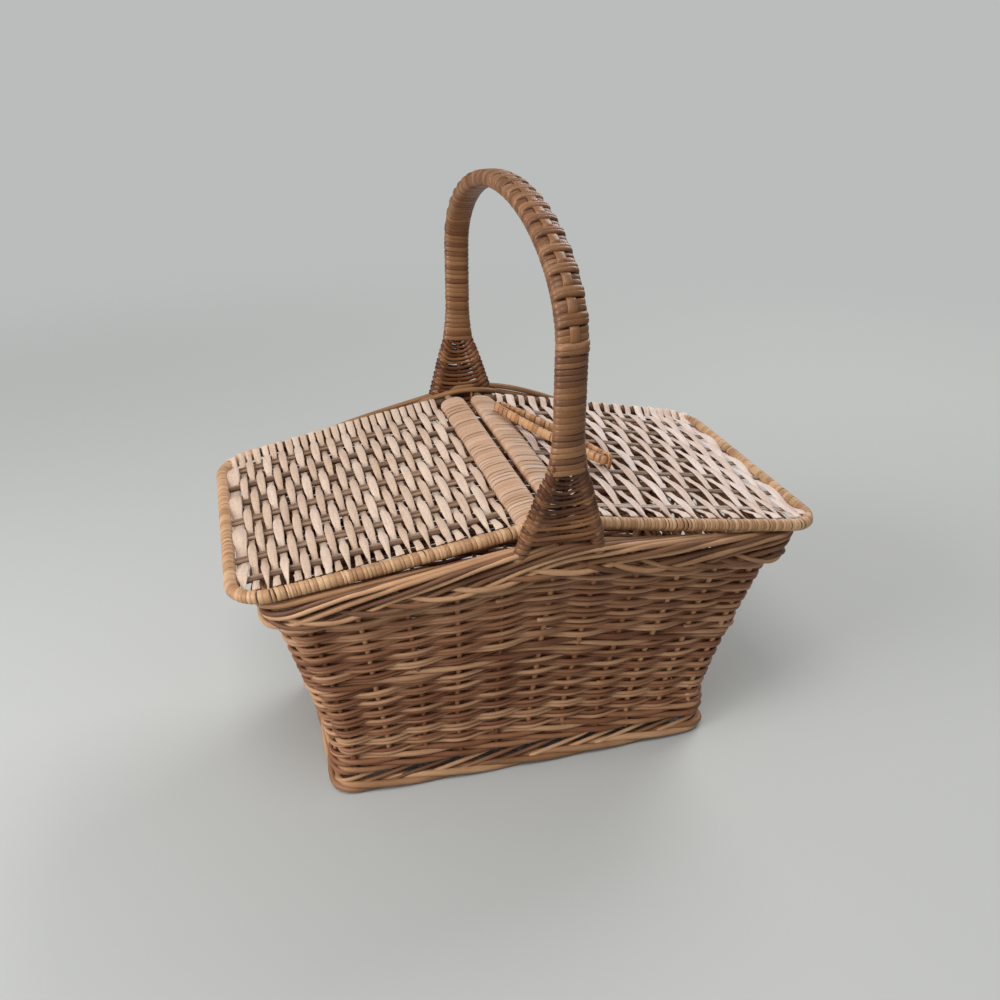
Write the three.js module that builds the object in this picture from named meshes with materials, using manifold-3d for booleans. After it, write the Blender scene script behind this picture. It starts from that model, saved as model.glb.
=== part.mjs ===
// A willow picnic basket with a hoop handle and two lids that hinge under it.
// Units are millimetres. X runs along the basket, Y through its depth, Z up.
// The origin lies on the floor, under the middle of the base.
import * as THREE from 'three';
import { mergeVertices } from 'three/addons/utils/BufferGeometryUtils.js';
import Module from 'manifold-3d';

const wasm = await Module();
wasm.setup();

// Body: half sizes of the woven wall's outer face, at the foot and at the rim
const FOOT_HALF_LENGTH = 164;
const FOOT_HALF_DEPTH = 86;
const FOOT_SIDE_BOW = 3;
const FOOT_CORNER = 16;
const RIM_HALF_LENGTH = 206;
const RIM_HALF_DEPTH = 123;
const RIM_SIDE_BOW = 24;
const RIM_CORNER = 22;
const FLARE_START_SHARE = 0.2;
const FLARE_POWER = 1.15;
const WALL = 7;
const STAKE_SWELL = 0.9;
const STAKES_PER_QUARTER_SIDE = 4;
const STAKES_PER_CORNER = 1;
const STAKES_PER_QUARTER_END = 2;

// Heights of the woven bands, as shares of the height of the rim at each place
const BOTTOM_WALE_SHARE = 0.09;
const LOWER_SIDING_SHARE = 0.16;
const MIDDLE_WALE_SHARE = 0.5;
const UPPER_SIDING_SHARE = 0.56;
const RIM_BORDER_SHARE = 0.875;
const WALE_PROUD = 2.2;
const LOWER_COURSES = 14;
const UPPER_COURSES = 13;
const COURSE_SWING = 1.7;
const COURSE_PROUD = 0.6;

// Foot, base and corner sticks
const FOOT_BORDER_HEIGHT = 12;
const FOOT_BORDER_WIDTH = 13;
const FOOT_STAKE_DIAMETER = 5;
const BASE_THICKNESS = 6.5;
const BASE_RIB_DIAMETER = 9;
const BASE_RIB_COUNT = 7;
const BASE_RIB_INSET = 8;
const BASE_RIB_END_INSET = 26;
const CORNER_STAKE_DIAMETER = 9;

// Rim border
const BORDER_WIDTH = 19;
const BORDER_INSET = 9;
const BORDER_PROUD = 3.5;
const BORDER_EDGE = 1;
const RIM_PEAK_ROUNDING = 20;

// Handle
const HANDLE_TOP = 472;
const BOW_SPRING = 388;
const BOW_WIDTH = 22;
const BOW_THICKNESS = 12;
const BOW_EDGE = 4;
const NECK_HEIGHT = 304;
const NECK_WIDTH = 28;
const NECK_TAPER = 34;
const LEG_DIAMETER = 11;
const LEG_SPLAY = 27.5;
const LEG_LEAN = 8.5;
const LEG_SOCKET_DEPTH = 10;
const WEB_THICKNESS = 5.5;
const WEB_ROW = 4.4;
const WEB_STAKE_WIDTH = 5;
const WEB_OPEN_TOP = 12;
const LEADER_WIDTH = 7;
const LEADER_THICKNESS = 1.4;
const LEADER_START_ANGLE = 10;

// Lids: hinge line, slope and outline of the outer rod's centre line
const HINGE_OFFSET = 14;
const HINGE_HEIGHT = 252;
const LID_END_HEIGHT = 216;
const LID_END_OVERHANG = 19;
const LID_SIDE_OVERHANG = 1;
const LID_LEG_CLEARANCE = 5;
const LID_CORNER = 30;
const LID_ROD_DIAMETER = 10;
const BAR_WIDTH = 24;
const BAR_THICKNESS = 10;
const BAR_END_CLEARANCE = 1;
const HINGE_STICK_DIAMETER = 7;
const HINGE_STICK_END = 8;
const STRIP_WIDTH = 6.5;
const STRIP_COUNT = 17;
const STICK_PAIR_WIDTH = 9;
const STICK_PAIR_COUNT = 7;
const LATTICE_THICKNESS = 4.4;
const LATTICE_WAVE = 0.9;

// Hinge ties, and the closing loop with its tie
const TIE_WALL = 2;
const TIE_WIDTH = 5;
const LOOP_LENGTH = 124;
const LOOP_HALF_WIDTH = 9;
const LOOP_BAND_WIDTH = 4;
const LOOP_BAND_HEIGHT = 8;
const LOOP_EYE = 4.2;
const LOOP_TIE_DIAMETER = 3;
const LOOP_TIE_OUT = 62;
const LOOP_TIE_SIDE = -28;
const LOOP_ANGLE = 117;

const GAP = 0.3;
const TAU = 2 * Math.PI;
const radians = THREE.MathUtils.degToRad;

// Lids reach past the rim at the ends and sides, and pass the handle's legs with a clearance
const BORDER_MIDDLE = RIM_HALF_DEPTH + RIM_SIDE_BOW + BORDER_WIDTH / 2 - BORDER_INSET;
const HANDLE_HALF_SPAN = BORDER_MIDDLE + LEG_LEAN;
const LID_HALF_LENGTH = RIM_HALF_LENGTH + LID_END_OVERHANG;
const LID_HALF_DEPTH = RIM_HALF_DEPTH + LID_SIDE_OVERHANG;
const LID_MIDDLE_DEPTH = BORDER_MIDDLE - (LEG_DIAMETER + LID_ROD_DIAMETER) / 2 - LID_LEG_CLEARANCE;
const LID_SIDE_BOW = LID_MIDDLE_DEPTH - LID_HALF_DEPTH;
const LID_TILT = Math.atan2(HINGE_HEIGHT - LID_END_HEIGHT, LID_HALF_LENGTH - HINGE_OFFSET);
const LID_REACH = (LID_HALF_LENGTH - HINGE_OFFSET) / Math.cos(LID_TILT);
const ROD_RADIUS = LID_ROD_DIAMETER / 2;
const BAR_HALF_LENGTH = LID_MIDDLE_DEPTH - ROD_RADIUS - BAR_END_CLEARANCE;
const LEG_RADIUS = LEG_DIAMETER / 2;
const NECK_LEG_OFFSET = NECK_WIDTH / 2 - LEG_RADIUS;

// Meshes

/** A closed mesh from shared points and faces given as lists of three indices. */
function meshFrom(points, triangles) {
  const geometry = new THREE.BufferGeometry();
  geometry.setAttribute('position', new THREE.Float32BufferAttribute(points.flat(), 3));
  geometry.setIndex(triangles.flat());
  geometry.computeVertexNormals();
  return geometry;
}

/** Skins a list of rings, each with as many points, that closes on itself both ways. */
function ringBody(rings) {
  const count = rings[0].length;
  const triangles = [];
  rings.forEach((ring, r) => {
    const next = (r + 1) % rings.length;
    for (let i = 0; i < count; i += 1) {
      const j = (i + 1) % count;
      const [a, b, c, d] = [r * count + i, r * count + j, next * count + j, next * count + i];
      triangles.push([a, b, c], [a, c, d]);
    }
  });
  return meshFrom(rings.flat(), triangles);
}

/** Skins a list of rings from end to end, with a flat cap on the first and on the last. */
function loftBody(rings) {
  const count = rings[0].length;
  const triangles = [];
  for (let r = 0; r + 1 < rings.length; r += 1) {
    for (let i = 0; i < count; i += 1) {
      const j = (i + 1) % count;
      const [a, b, c, d] = [r * count + i, r * count + j, (r + 1) * count + j, (r + 1) * count + i];
      triangles.push([a, b, c], [a, c, d]);
    }
  }
  const last = (rings.length - 1) * count;
  for (let i = 1; i + 1 < count; i += 1) {
    triangles.push([0, i + 1, i], [last, last + i, last + i + 1]);
  }
  return meshFrom(rings.flat(), triangles);
}

/** The geometry as a manifold solid, with its shared corners merged. */
function solid(geometry) {
  const bare = geometry.clone();
  bare.deleteAttribute('normal');
  bare.deleteAttribute('uv');
  const merged = mergeVertices(bare, 1e-4);
  return new wasm.Manifold(new wasm.Mesh({
    numProp: 3,
    vertProperties: new Float32Array(merged.attributes.position.array),
    triVerts: new Uint32Array(merged.index.array),
  }));
}

/** A solid back as a geometry. */
function geometryOf(manifold) {
  const mesh = manifold.getMesh();
  const geometry = new THREE.BufferGeometry();
  geometry.setAttribute('position', new THREE.BufferAttribute(new Float32Array(mesh.vertProperties), 3));
  geometry.setIndex(new THREE.BufferAttribute(new Uint32Array(mesh.triVerts), 1));
  geometry.computeVertexNormals();
  return geometry;
}

const fuse = (first, ...rest) => geometryOf(rest.reduce((sum, g) => sum.add(solid(g)), solid(first)));
const cut = (body, ...tools) => geometryOf(tools.reduce((rest, g) => rest.subtract(solid(g)), solid(body)));

/** A straight round bar between two points. */
function roundBar(from, to, radius, sides) {
  const start = new THREE.Vector3(...from);
  const end = new THREE.Vector3(...to);
  const geometry = new THREE.CylinderGeometry(radius, radius, start.distanceTo(end), sides);
  const along = end.clone().sub(start).normalize();
  geometry.applyQuaternion(new THREE.Quaternion().setFromUnitVectors(new THREE.Vector3(0, 1, 0), along));
  geometry.translate(...start.add(end).multiplyScalar(0.5).toArray());
  return geometry;
}

/** A bar of one section, given as pairs across and up, along a path with fixed sideways directions. */
function sweptBar(path, across, section) {
  return path.map((p, i) => {
    const before = path[Math.max(i - 1, 0)];
    const after = path[Math.min(i + 1, path.length - 1)];
    const along = new THREE.Vector3(...after).sub(new THREE.Vector3(...before)).normalize();
    const side = new THREE.Vector3(...across);
    const up = along.clone().cross(side).normalize();
    const trueSide = up.clone().cross(along).normalize();
    return section.map(([a, b]) => new THREE.Vector3(...p)
      .addScaledVector(trueSide, a).addScaledVector(up, b).toArray());
  });
}

/** A rectangle, as pairs across and up, turning from across to up. */
const rectangle = (width, height) => [[1, -1], [1, 1], [-1, 1], [-1, -1]]
  .map(([a, b]) => [a * width / 2, b * height / 2]);

/** A rectangle with cut corners, in the same order. */
function softRectangle(width, height, edge) {
  const [w, h] = [width / 2, height / 2];
  return [[w, -h + edge], [w, h - edge], [w - edge, h], [-w + edge, h],
    [-w, h - edge], [-w, -h + edge], [-w + edge, -h], [w - edge, -h]];
}

/** A regular polygon as pairs across and up. */
const roundSection = (radius, sides) => Array.from({ length: sides }, (_, k) => {
  const turn = TAU * (k + 0.5) / sides;
  return [radius * Math.cos(turn), radius * Math.sin(turn)];
});

// Plan and height of the body

/** Top of the rim border over a point of the rim: it follows the lids' slope, with a rounded peak. */
function rimTop(x) {
  const slope = Math.tan(LID_TILT);
  const rodUnderside = HINGE_HEIGHT + HINGE_OFFSET * slope - (ROD_RADIUS + GAP) / Math.cos(LID_TILT);
  return rodUnderside - slope * Math.hypot(x, RIM_PEAK_ROUNDING);
}

const CORNER_END = STAKES_PER_QUARTER_SIDE + STAKES_PER_CORNER;
const QUARTER = CORNER_END + STAKES_PER_QUARTER_END;

/**
 * Stations round the wall, numbered in stakes clockwise from the middle of the back and listed the other
 * way. Every stake has one, and there is one half way where the rim's peak or a corner bends the most.
 */
function wallStations() {
  const quarter = [];
  for (let stake = 0; stake < QUARTER; stake += 1) {
    const isBent = stake === 0 || (stake >= STAKES_PER_QUARTER_SIDE && stake < CORNER_END);
    quarter.push(stake, ...(isBent ? [stake + 0.5] : []));
  }
  const half = [...quarter, QUARTER, ...quarter.slice(1).reverse().map((stake) => 2 * QUARTER - stake)];
  const whole = [...half, 2 * QUARTER, ...half.slice(1).reverse().map((stake) => 4 * QUARTER - stake)];
  return whole.reverse();
}

const STATIONS = wallStations();

/** Plan point at a stake: long sides bow out as a parabola, corners are round and ends are straight. */
function planPoint(stake, halfLength, halfDepth, corner, bow) {
  const fromBack = Math.min(stake, 4 * QUARTER - stake);
  const place = Math.min(fromBack, 2 * QUARTER - fromBack);
  const [sideX, sideY] = [stake <= 2 * QUARTER ? 1 : -1, fromBack <= QUARTER ? 1 : -1];
  const straight = halfLength - corner;
  if (place <= STAKES_PER_QUARTER_SIDE) {
    const share = place / STAKES_PER_QUARTER_SIDE;
    return [sideX * straight * share, sideY * (halfDepth + bow * (1 - share ** 2))];
  }
  const straightEnd = halfDepth - corner;
  if (place <= CORNER_END) {
    const turn = Math.PI / 2 * (place - STAKES_PER_QUARTER_SIDE) / STAKES_PER_CORNER;
    return [sideX * (straight + corner * Math.sin(turn)), sideY * (straightEnd + corner * Math.cos(turn))];
  }
  return [sideX * halfLength, sideY * straightEnd * (QUARTER - place) / STAKES_PER_QUARTER_END];
}

/** Share of the flare that the wall has taken at a share of its height. */
const flare = (t) => Math.max(0, (t - FLARE_START_SHARE) / (1 - FLARE_START_SHARE)) ** FLARE_POWER;
const between = (low, high, share) => low + (high - low) * share;

/** Plan of the wall's outer face at a share of its height, moved out by an offset and a swell. */
function wallPlan(t, offset, swell = () => 0) {
  const s = flare(t);
  const plan = STATIONS.map((stake) => planPoint(
    stake,
    between(FOOT_HALF_LENGTH, RIM_HALF_LENGTH, s),
    between(FOOT_HALF_DEPTH, RIM_HALF_DEPTH, s),
    between(FOOT_CORNER, RIM_CORNER, s),
    between(FOOT_SIDE_BOW, RIM_SIDE_BOW, s),
  ));
  return plan.map(([x, y], i) => {
    const before = plan[(i + plan.length - 1) % plan.length];
    const after = plan[(i + 1) % plan.length];
    const outward = new THREE.Vector2(after[1] - before[1], before[0] - after[0]).normalize();
    const out = offset + swell(STATIONS[i]);
    return [x + outward.x * out, y + outward.y * out];
  });
}

const RIM_PLAN = wallPlan(1, 0);

/** A ring of the wall: height is a share of the rim's height over each station, plus a lift. */
function wallRing(t, offset, lift = 0, swell = () => 0) {
  return wallPlan(t, offset, swell).map(([x, y], i) => [x, y, t * rimTop(RIM_PLAN[i][0]) + lift]);
}

// Woven body

/**
 * A band of siding from one share of the height to another. Each course is a ring that passes in front of
 * one stake and behind the next, and the course above it does the opposite: swing * cos(pi * (stake +
 * course)). The inner face swells a little over every stake.
 */
function siding(low, high, courses) {
  const face = COURSE_PROUD - COURSE_SWING;
  const weave = (course) => (stake) => COURSE_SWING * Math.cos(Math.PI * (stake + course));
  const swell = (stake) => (Number.isInteger(stake) ? -STAKE_SWELL : 0);
  const outer = Array.from({ length: courses }, (_, course) => (
    wallRing(between(low, high, (course + 0.5) / courses), face, 0, weave(course))));
  const inner = [high, (low + high) / 2].map((t) => wallRing(t, -WALL, 0, swell));
  return ringBody([
    wallRing(low, face, GAP), ...outer, wallRing(high, face), ...inner, wallRing(low, -WALL, GAP, swell),
  ]);
}

/** A wale: a thicker, round-backed band that stands proud of the siding. */
function wale(low, high) {
  const middle = (low + high) / 2;
  return [
    wallRing(low, WALE_PROUD * 0.4, GAP), wallRing(middle, WALE_PROUD),
    wallRing(high, WALE_PROUD * 0.4), wallRing(high, -WALL - WALE_PROUD * 0.4),
    wallRing(middle, -WALL - WALE_PROUD), wallRing(low, -WALL - WALE_PROUD * 0.4, GAP),
  ];
}

/** Foot border: a plaited ring, flat underneath, with the stakes that rise from it to the bottom wale. */
function footBorder() {
  const [w, h] = [FOOT_BORDER_WIDTH / 2, FOOT_BORDER_HEIGHT];
  const centre = -WALL / 2 + 1;
  const profile = [[w * 0.7, 0], [w, h * 0.45], [w * 0.55, h], [-w * 0.55, h], [-w, h * 0.45], [-w * 0.7, 0]];
  const ring = ringBody(profile.map(([out, z]) => wallPlan(0, centre + out).map(([x, y]) => [x, y, z])));
  const stakes = wallPlan(0, -WALL / 2).map(([x, y], i) => {
    const top = BOTTOM_WALE_SHARE * rimTop(RIM_PLAN[i][0]);
    return roundBar([x, y, h / 2], [x, y, top], FOOT_STAKE_DIAMETER / 2, 4);
  });
  return fuse(ring, ...stakes.filter((_, i) => Number.isInteger(STATIONS[i])));
}

/** Rim border: a thick rolled ring with four sockets for the handle's legs. Its top follows the lids. */
function rimBorder() {
  const [inner, outer] = [-BORDER_INSET, BORDER_WIDTH - BORDER_INSET];
  const topRing = (out, drop) => wallPlan(1, out).map(([x, y]) => [x, y, rimTop(x) - drop]);
  const ring = ringBody([
    wallRing(RIM_BORDER_SHARE, -WALL - BORDER_EDGE, 2 * GAP),
    wallRing(RIM_BORDER_SHARE, BORDER_PROUD, 2 * GAP),
    topRing(outer - BORDER_EDGE / 2, BORDER_WIDTH * 0.65),
    topRing(outer - BORDER_EDGE, BORDER_WIDTH * 0.2),
    topRing(outer - BORDER_WIDTH * 0.4, 0),
    topRing(inner + BORDER_EDGE, 0),
    topRing(inner, BORDER_WIDTH * 0.4),
  ]);
  return cut(ring, ...LEGS.map(([side, end]) => legBody(side, end, LEG_RADIUS + GAP, GAP)));
}

/** Base: a flat woven panel with its round sticks standing out as ribs above and below. */
function basePanel() {
  const low = FOOT_BORDER_HEIGHT + GAP;
  const mid = low + BASE_THICKNESS / 2;
  const edge = wallPlan(0, -(WALL + FOOT_STAKE_DIAMETER) / 2 - GAP);
  const slab = loftBody([low, low + BASE_THICKNESS].map((z) => edge.map(([x, y]) => [x, y, z])));
  const reach = FOOT_HALF_DEPTH - WALL - BASE_RIB_INSET;
  const spread = FOOT_HALF_LENGTH - WALL - BASE_RIB_END_INSET;
  const ribs = Array.from({ length: BASE_RIB_COUNT }, (_, i) => {
    const x = spread * (2 * i / (BASE_RIB_COUNT - 1) - 1);
    return roundBar([x, -reach, mid], [x, reach, mid], BASE_RIB_DIAMETER / 2, 8);
  });
  return fuse(slab, ...ribs);
}

/** A thick stake that stands inside a corner of the wall and follows its flare. */
function cornerStake(sideX, sideY) {
  const low = (FOOT_BORDER_HEIGHT + BASE_THICKNESS + 2 * GAP) / rimTop(RIM_HALF_LENGTH);
  const levels = 5;
  const inset = -WALL - WALE_PROUD - GAP - CORNER_STAKE_DIAMETER / 2 - STAKE_SWELL;
  const path = Array.from({ length: levels }, (_, i) => {
    const t = between(low, RIM_BORDER_SHARE, i / (levels - 1));
    const s = flare(t);
    const corner = between(FOOT_CORNER, RIM_CORNER, s);
    const diagonal = (corner + inset) * Math.SQRT1_2;
    return [
      sideX * (between(FOOT_HALF_LENGTH, RIM_HALF_LENGTH, s) - corner + diagonal),
      sideY * (between(FOOT_HALF_DEPTH, RIM_HALF_DEPTH, s) - corner + diagonal),
      t * rimTop(RIM_HALF_LENGTH - RIM_CORNER * (1 - Math.SQRT1_2)),
    ];
  });
  return loftBody(sweptBar(path, [sideY, -sideX, 0], roundSection(CORNER_STAKE_DIAMETER / 2, 6)));
}

// Handle

/** Centre line of the bow in its plane: upright sides, then half an ellipse over the top. */
function bowPath() {
  const rise = HANDLE_TOP - BOW_THICKNESS / 2 - BOW_SPRING;
  const path = [NECK_HEIGHT, NECK_HEIGHT + NECK_TAPER].map((z) => [0, -HANDLE_HALF_SPAN, z]);
  const steps = 26;
  for (let i = 0; i <= steps; i += 1) {
    const turn = Math.PI * i / steps;
    path.push([0, -HANDLE_HALF_SPAN * Math.cos(turn), BOW_SPRING + rise * Math.sin(turn)]);
  }
  path.push(...[NECK_HEIGHT + NECK_TAPER, NECK_HEIGHT].map((z) => [0, HANDLE_HALF_SPAN, z]));
  return path;
}

/** The bow: a bound strap, wider at each neck, where its two rods part. */
function handleBow() {
  const rings = sweptBar(bowPath(), [1, 0, 0], softRectangle(BOW_WIDTH, BOW_THICKNESS, BOW_EDGE));
  [rings[0], rings[rings.length - 1]].forEach((ring) => ring.forEach((p) => {
    p[0] *= NECK_WIDTH / BOW_WIDTH;
  }));
  return loftBody(rings);
}

/** The leader: a flat strip along the back of the bow, from spring to spring. */
function handleLeader() {
  const rise = HANDLE_TOP - BOW_THICKNESS / 2 - BOW_SPRING;
  const lift = BOW_THICKNESS / 2 + GAP + LEADER_THICKNESS / 2;
  const steps = 24;
  const path = Array.from({ length: steps + 1 }, (_, i) => {
    const turn = radians(LEADER_START_ANGLE) + (Math.PI - 2 * radians(LEADER_START_ANGLE)) * i / steps;
    const outward = new THREE.Vector2(-Math.cos(turn) * rise, Math.sin(turn) * HANDLE_HALF_SPAN).normalize();
    return [
      0,
      -HANDLE_HALF_SPAN * Math.cos(turn) + outward.x * lift,
      BOW_SPRING + rise * Math.sin(turn) + outward.y * lift,
    ];
  });
  return loftBody(sweptBar(path, [1, 0, 0], rectangle(LEADER_WIDTH, LEADER_THICKNESS)));
}

const LEGS = [[-1, -1], [1, -1], [-1, 1], [1, 1]];

/** A point of a leg's centre line at a height, on one side of the bow and at one end of its span. */
function legPoint(side, end, z) {
  const rim = rimTop(LEG_SPLAY);
  const drop = (NECK_HEIGHT - z) / (NECK_HEIGHT - rim);
  return [
    side * between(NECK_LEG_OFFSET, LEG_SPLAY, drop),
    end * (HANDLE_HALF_SPAN - LEG_LEAN * drop),
    z,
  ];
}

/** A leg of the handle, from the neck down into the rim border. */
function legBody(side, end, radius = LEG_RADIUS, extra = 0) {
  const bottom = rimTop(LEG_SPLAY) - LEG_SOCKET_DEPTH - extra;
  return loftBody([bottom, NECK_HEIGHT - GAP].map((z) => {
    const [x, y] = legPoint(side, end, z);
    return roundSection(radius, 8).map(([a, b]) => [x + a, y + b, z]);
  }));
}

/** The woven web between two legs, in rows round a short stake that reaches up to the neck. */
function handleWeb(end) {
  const low = rimTop(0) + GAP + 1;
  const top = NECK_HEIGHT - GAP;
  const rows = Math.floor((top - WEB_OPEN_TOP - low) / WEB_ROW);
  const clear = LEG_RADIUS + 2 * GAP;
  const rings = [];
  for (let i = 0; i <= 2 * rows; i += 1) {
    const z = low + WEB_ROW * i / 2;
    const [legX, legY] = legPoint(1, 1, z);
    const halfWidth = legX - clear;
    const half = WEB_THICKNESS / 2 * (i % 2 === 0 ? 0.7 : 1);
    rings.push([[-halfWidth, legY - half], [halfWidth, legY - half],
      [halfWidth, legY + half], [-halfWidth, legY + half]].map(([x, y]) => [x, end * y, z]));
  }
  const lastY = legPoint(1, 1, top)[1];
  const firstZ = low + WEB_ROW * rows;
  const w = WEB_STAKE_WIDTH / 2 - GAP;
  [firstZ + 0.5, top].forEach((z) => rings.push([[-w, lastY - w], [w, lastY - w],
    [w, lastY + w], [-w, lastY + w]].map(([x, y]) => [x, end * y, z])));
  return loftBody(end > 0 ? rings : rings.map((ring) => ring.slice().reverse()));
}

// Lids, in a frame whose X runs outwards from the hinge line along the lid's slope

/** Half depth of the outer rod's centre line at a distance from the hinge line. */
function rodHalfDepth(out) {
  const straight = LID_REACH - LID_CORNER;
  if (out <= straight) {
    return LID_HALF_DEPTH + LID_SIDE_BOW * (1 - (out / straight) ** 2);
  }
  const into = Math.min((out - straight) / LID_CORNER, 1);
  return LID_HALF_DEPTH - LID_CORNER + LID_CORNER * Math.sqrt(1 - into ** 2);
}

/** The bent rod round three sides of a lid; its ends butt against the hinge stick. */
function lidRod() {
  const start = HINGE_STICK_DIAMETER / 2 + GAP;
  const straight = LID_REACH - LID_CORNER;
  const half = [];
  const sideSteps = 8;
  for (let i = 0; i < sideSteps; i += 1) {
    const out = between(start, straight, i / sideSteps);
    half.push([out, -rodHalfDepth(out), 0]);
  }
  const cornerSteps = 4;
  const cornerCentre = LID_HALF_DEPTH - LID_CORNER;
  for (let i = 0; i <= cornerSteps; i += 1) {
    const turn = Math.PI / 2 * i / cornerSteps;
    half.push([straight + LID_CORNER * Math.sin(turn), -cornerCentre - LID_CORNER * Math.cos(turn), 0]);
  }
  const path = [...half, [LID_REACH, 0, 0], ...half.slice().reverse().map(([x, y]) => [x, -y, 0])];
  return loftBody(sweptBar(path, [0, 0, 1], roundSection(ROD_RADIUS, 8)));
}

/** The wide flat bar at the hinge line: a cane-bound sleeve that the hinge stick runs through. */
function lidBar() {
  const section = softRectangle(BAR_WIDTH, BAR_THICKNESS, BAR_THICKNESS * 0.3);
  const path = [[0, BAR_HALF_LENGTH, 0], [0, -BAR_HALF_LENGTH, 0]];
  const sleeve = loftBody(sweptBar(path, [1, 0, 0], section));
  const through = BAR_HALF_LENGTH + 1;
  return cut(sleeve, roundBar([0, -through, 0], [0, through, 0], HINGE_STICK_DIAMETER / 2 + GAP, 12));
}

const stickEnd = () => rodHalfDepth(0) + ROD_RADIUS + HINGE_STICK_END;
const hingeStick = () => roundBar([0, -stickEnd(), 0], [0, stickEnd(), 0], HINGE_STICK_DIAMETER / 2, 12);

/**
 * The woven panel: flat strips across the lid over and under pairs of round sticks.
 * It is one grid of cells. A cell is solid where a strip or a pair runs, and open elsewhere.
 */
function lidPanel() {
  const inner = BAR_WIDTH / 2 + GAP;
  const outer = LID_REACH - ROD_RADIUS - GAP;
  const pitch = (outer - inner) / (STRIP_COUNT + 0.6);
  const columns = [inner];
  for (let i = 0; i < STRIP_COUNT; i += 1) {
    const middle = inner + pitch * (i + 0.8);
    columns.push(middle - STRIP_WIDTH / 2, middle + STRIP_WIDTH / 2);
  }
  columns.push(outer);
  const nominal = LID_HALF_DEPTH - ROD_RADIUS - GAP;
  const rowPitch = 2 / (STICK_PAIR_COUNT + 0.5);
  const rows = [-1];
  for (let j = 0; j < STICK_PAIR_COUNT; j += 1) {
    const middle = -1 + rowPitch * (j + 0.75);
    rows.push(middle - STICK_PAIR_WIDTH / 2 / nominal, middle + STICK_PAIR_WIDTH / 2 / nominal);
  }
  rows.push(1);
  const reachAt = (x) => {
    const straight = LID_REACH - LID_CORNER;
    const clear = ROD_RADIUS + GAP;
    if (x <= straight) return rodHalfDepth(x) - clear;
    const inside = LID_CORNER - clear;
    const into = Math.min((x - straight) / inside, 1);
    return LID_HALF_DEPTH - LID_CORNER + inside * Math.sqrt(1 - into ** 2);
  };
  const wave = (c, r) => {
    const strip = Math.floor((c - 1) / 2);
    const pair = Math.floor((r - 1) / 2);
    const edge = c === 0 || r === 0 || c === columns.length - 1 || r === rows.length - 1;
    return edge ? 0 : LATTICE_WAVE * ((strip + pair) % 2 === 0 ? 1 : -1);
  };
  const isSolid = (c, r) => c >= 0 && r >= 0 && c < columns.length - 1 && r < rows.length - 1
    && (c % 2 === 1 || r % 2 === 1);
  const points = [];
  const triangles = [];
  const index = new Map();
  const vertex = (c, r, level) => {
    const key = `${c},${r},${level}`;
    if (!index.has(key)) {
      index.set(key, points.length);
      points.push([columns[c], rows[r] * reachAt(columns[c]), wave(c, r) + level * LATTICE_THICKNESS / 2]);
    }
    return index.get(key);
  };
  const quad = (a, b, c, d) => triangles.push([a, b, c], [a, c, d]);
  for (let c = 0; c < columns.length - 1; c += 1) {
    for (let r = 0; r < rows.length - 1; r += 1) {
      if (!isSolid(c, r)) continue;
      quad(vertex(c, r, 1), vertex(c + 1, r, 1), vertex(c + 1, r + 1, 1), vertex(c, r + 1, 1));
      quad(vertex(c, r, -1), vertex(c, r + 1, -1), vertex(c + 1, r + 1, -1), vertex(c + 1, r, -1));
      const walls = [
        [isSolid(c, r - 1), [c, r], [c + 1, r]], [isSolid(c + 1, r), [c + 1, r], [c + 1, r + 1]],
        [isSolid(c, r + 1), [c + 1, r + 1], [c, r + 1]], [isSolid(c - 1, r), [c, r + 1], [c, r]],
      ];
      walls.filter(([closed]) => !closed).forEach(([, p, q]) => {
        quad(vertex(...p, -1), vertex(...q, -1), vertex(...q, 1), vertex(...p, 1));
      });
    }
  }
  return meshFrom(points, triangles);
}

// Hinge ties, closing loop and its tie

/** A cane tie: a ring round the end of a hinge stick, with a foot that sits on the rim border. */
function hingeTie() {
  const inner = HINGE_STICK_DIAMETER / 2 + GAP;
  const outer = inner + TIE_WALL;
  const foot = HINGE_HEIGHT - rimTop(HINGE_OFFSET - outer) - GAP;
  const ring = roundBar([0, -TIE_WIDTH / 2, 0], [0, TIE_WIDTH / 2, 0], outer, 12);
  const block = new THREE.BoxGeometry(outer * 1.6, TIE_WIDTH, foot);
  block.translate(0, 0, -foot / 2);
  const bore = roundBar([0, -TIE_WIDTH, 0], [0, TIE_WIDTH, 0], inner, 12);
  return cut(fuse(ring, block), bore);
}

/** The closing loop: one band bent to a long eye, tied at its round end and free at the other. */
function closingLoop() {
  const steps = 8;
  const side = Array.from({ length: steps + 1 }, (_, i) => {
    const s = i / steps;
    return [LOOP_LENGTH * s, LOOP_EYE + (LOOP_HALF_WIDTH - LOOP_EYE) * Math.sin(Math.PI * s)];
  });
  const arcSteps = 5;
  const arc = (centre, from) => Array.from({ length: arcSteps - 1 }, (_, i) => {
    const turn = from + Math.PI * (i + 1) / arcSteps;
    return [centre + LOOP_EYE * Math.cos(turn), LOOP_EYE * Math.sin(turn)];
  });
  const path = [...side.map(([x, y]) => [x, -y]), ...arc(LOOP_LENGTH, -Math.PI / 2),
    ...side.slice().reverse(), ...arc(0, Math.PI / 2)];
  const section = softRectangle(LOOP_BAND_WIDTH, LOOP_BAND_HEIGHT, LOOP_BAND_WIDTH * 0.25);
  const rings = section.map(([out, up]) => path.map(([x, y], i) => {
    const before = path[(i + path.length - 1) % path.length];
    const after = path[(i + 1) % path.length];
    const outward = new THREE.Vector2(after[1] - before[1], before[0] - after[0]).normalize();
    return [x + outward.x * out, y + outward.y * out, up];
  }));
  return ringBody(rings);
}

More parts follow.
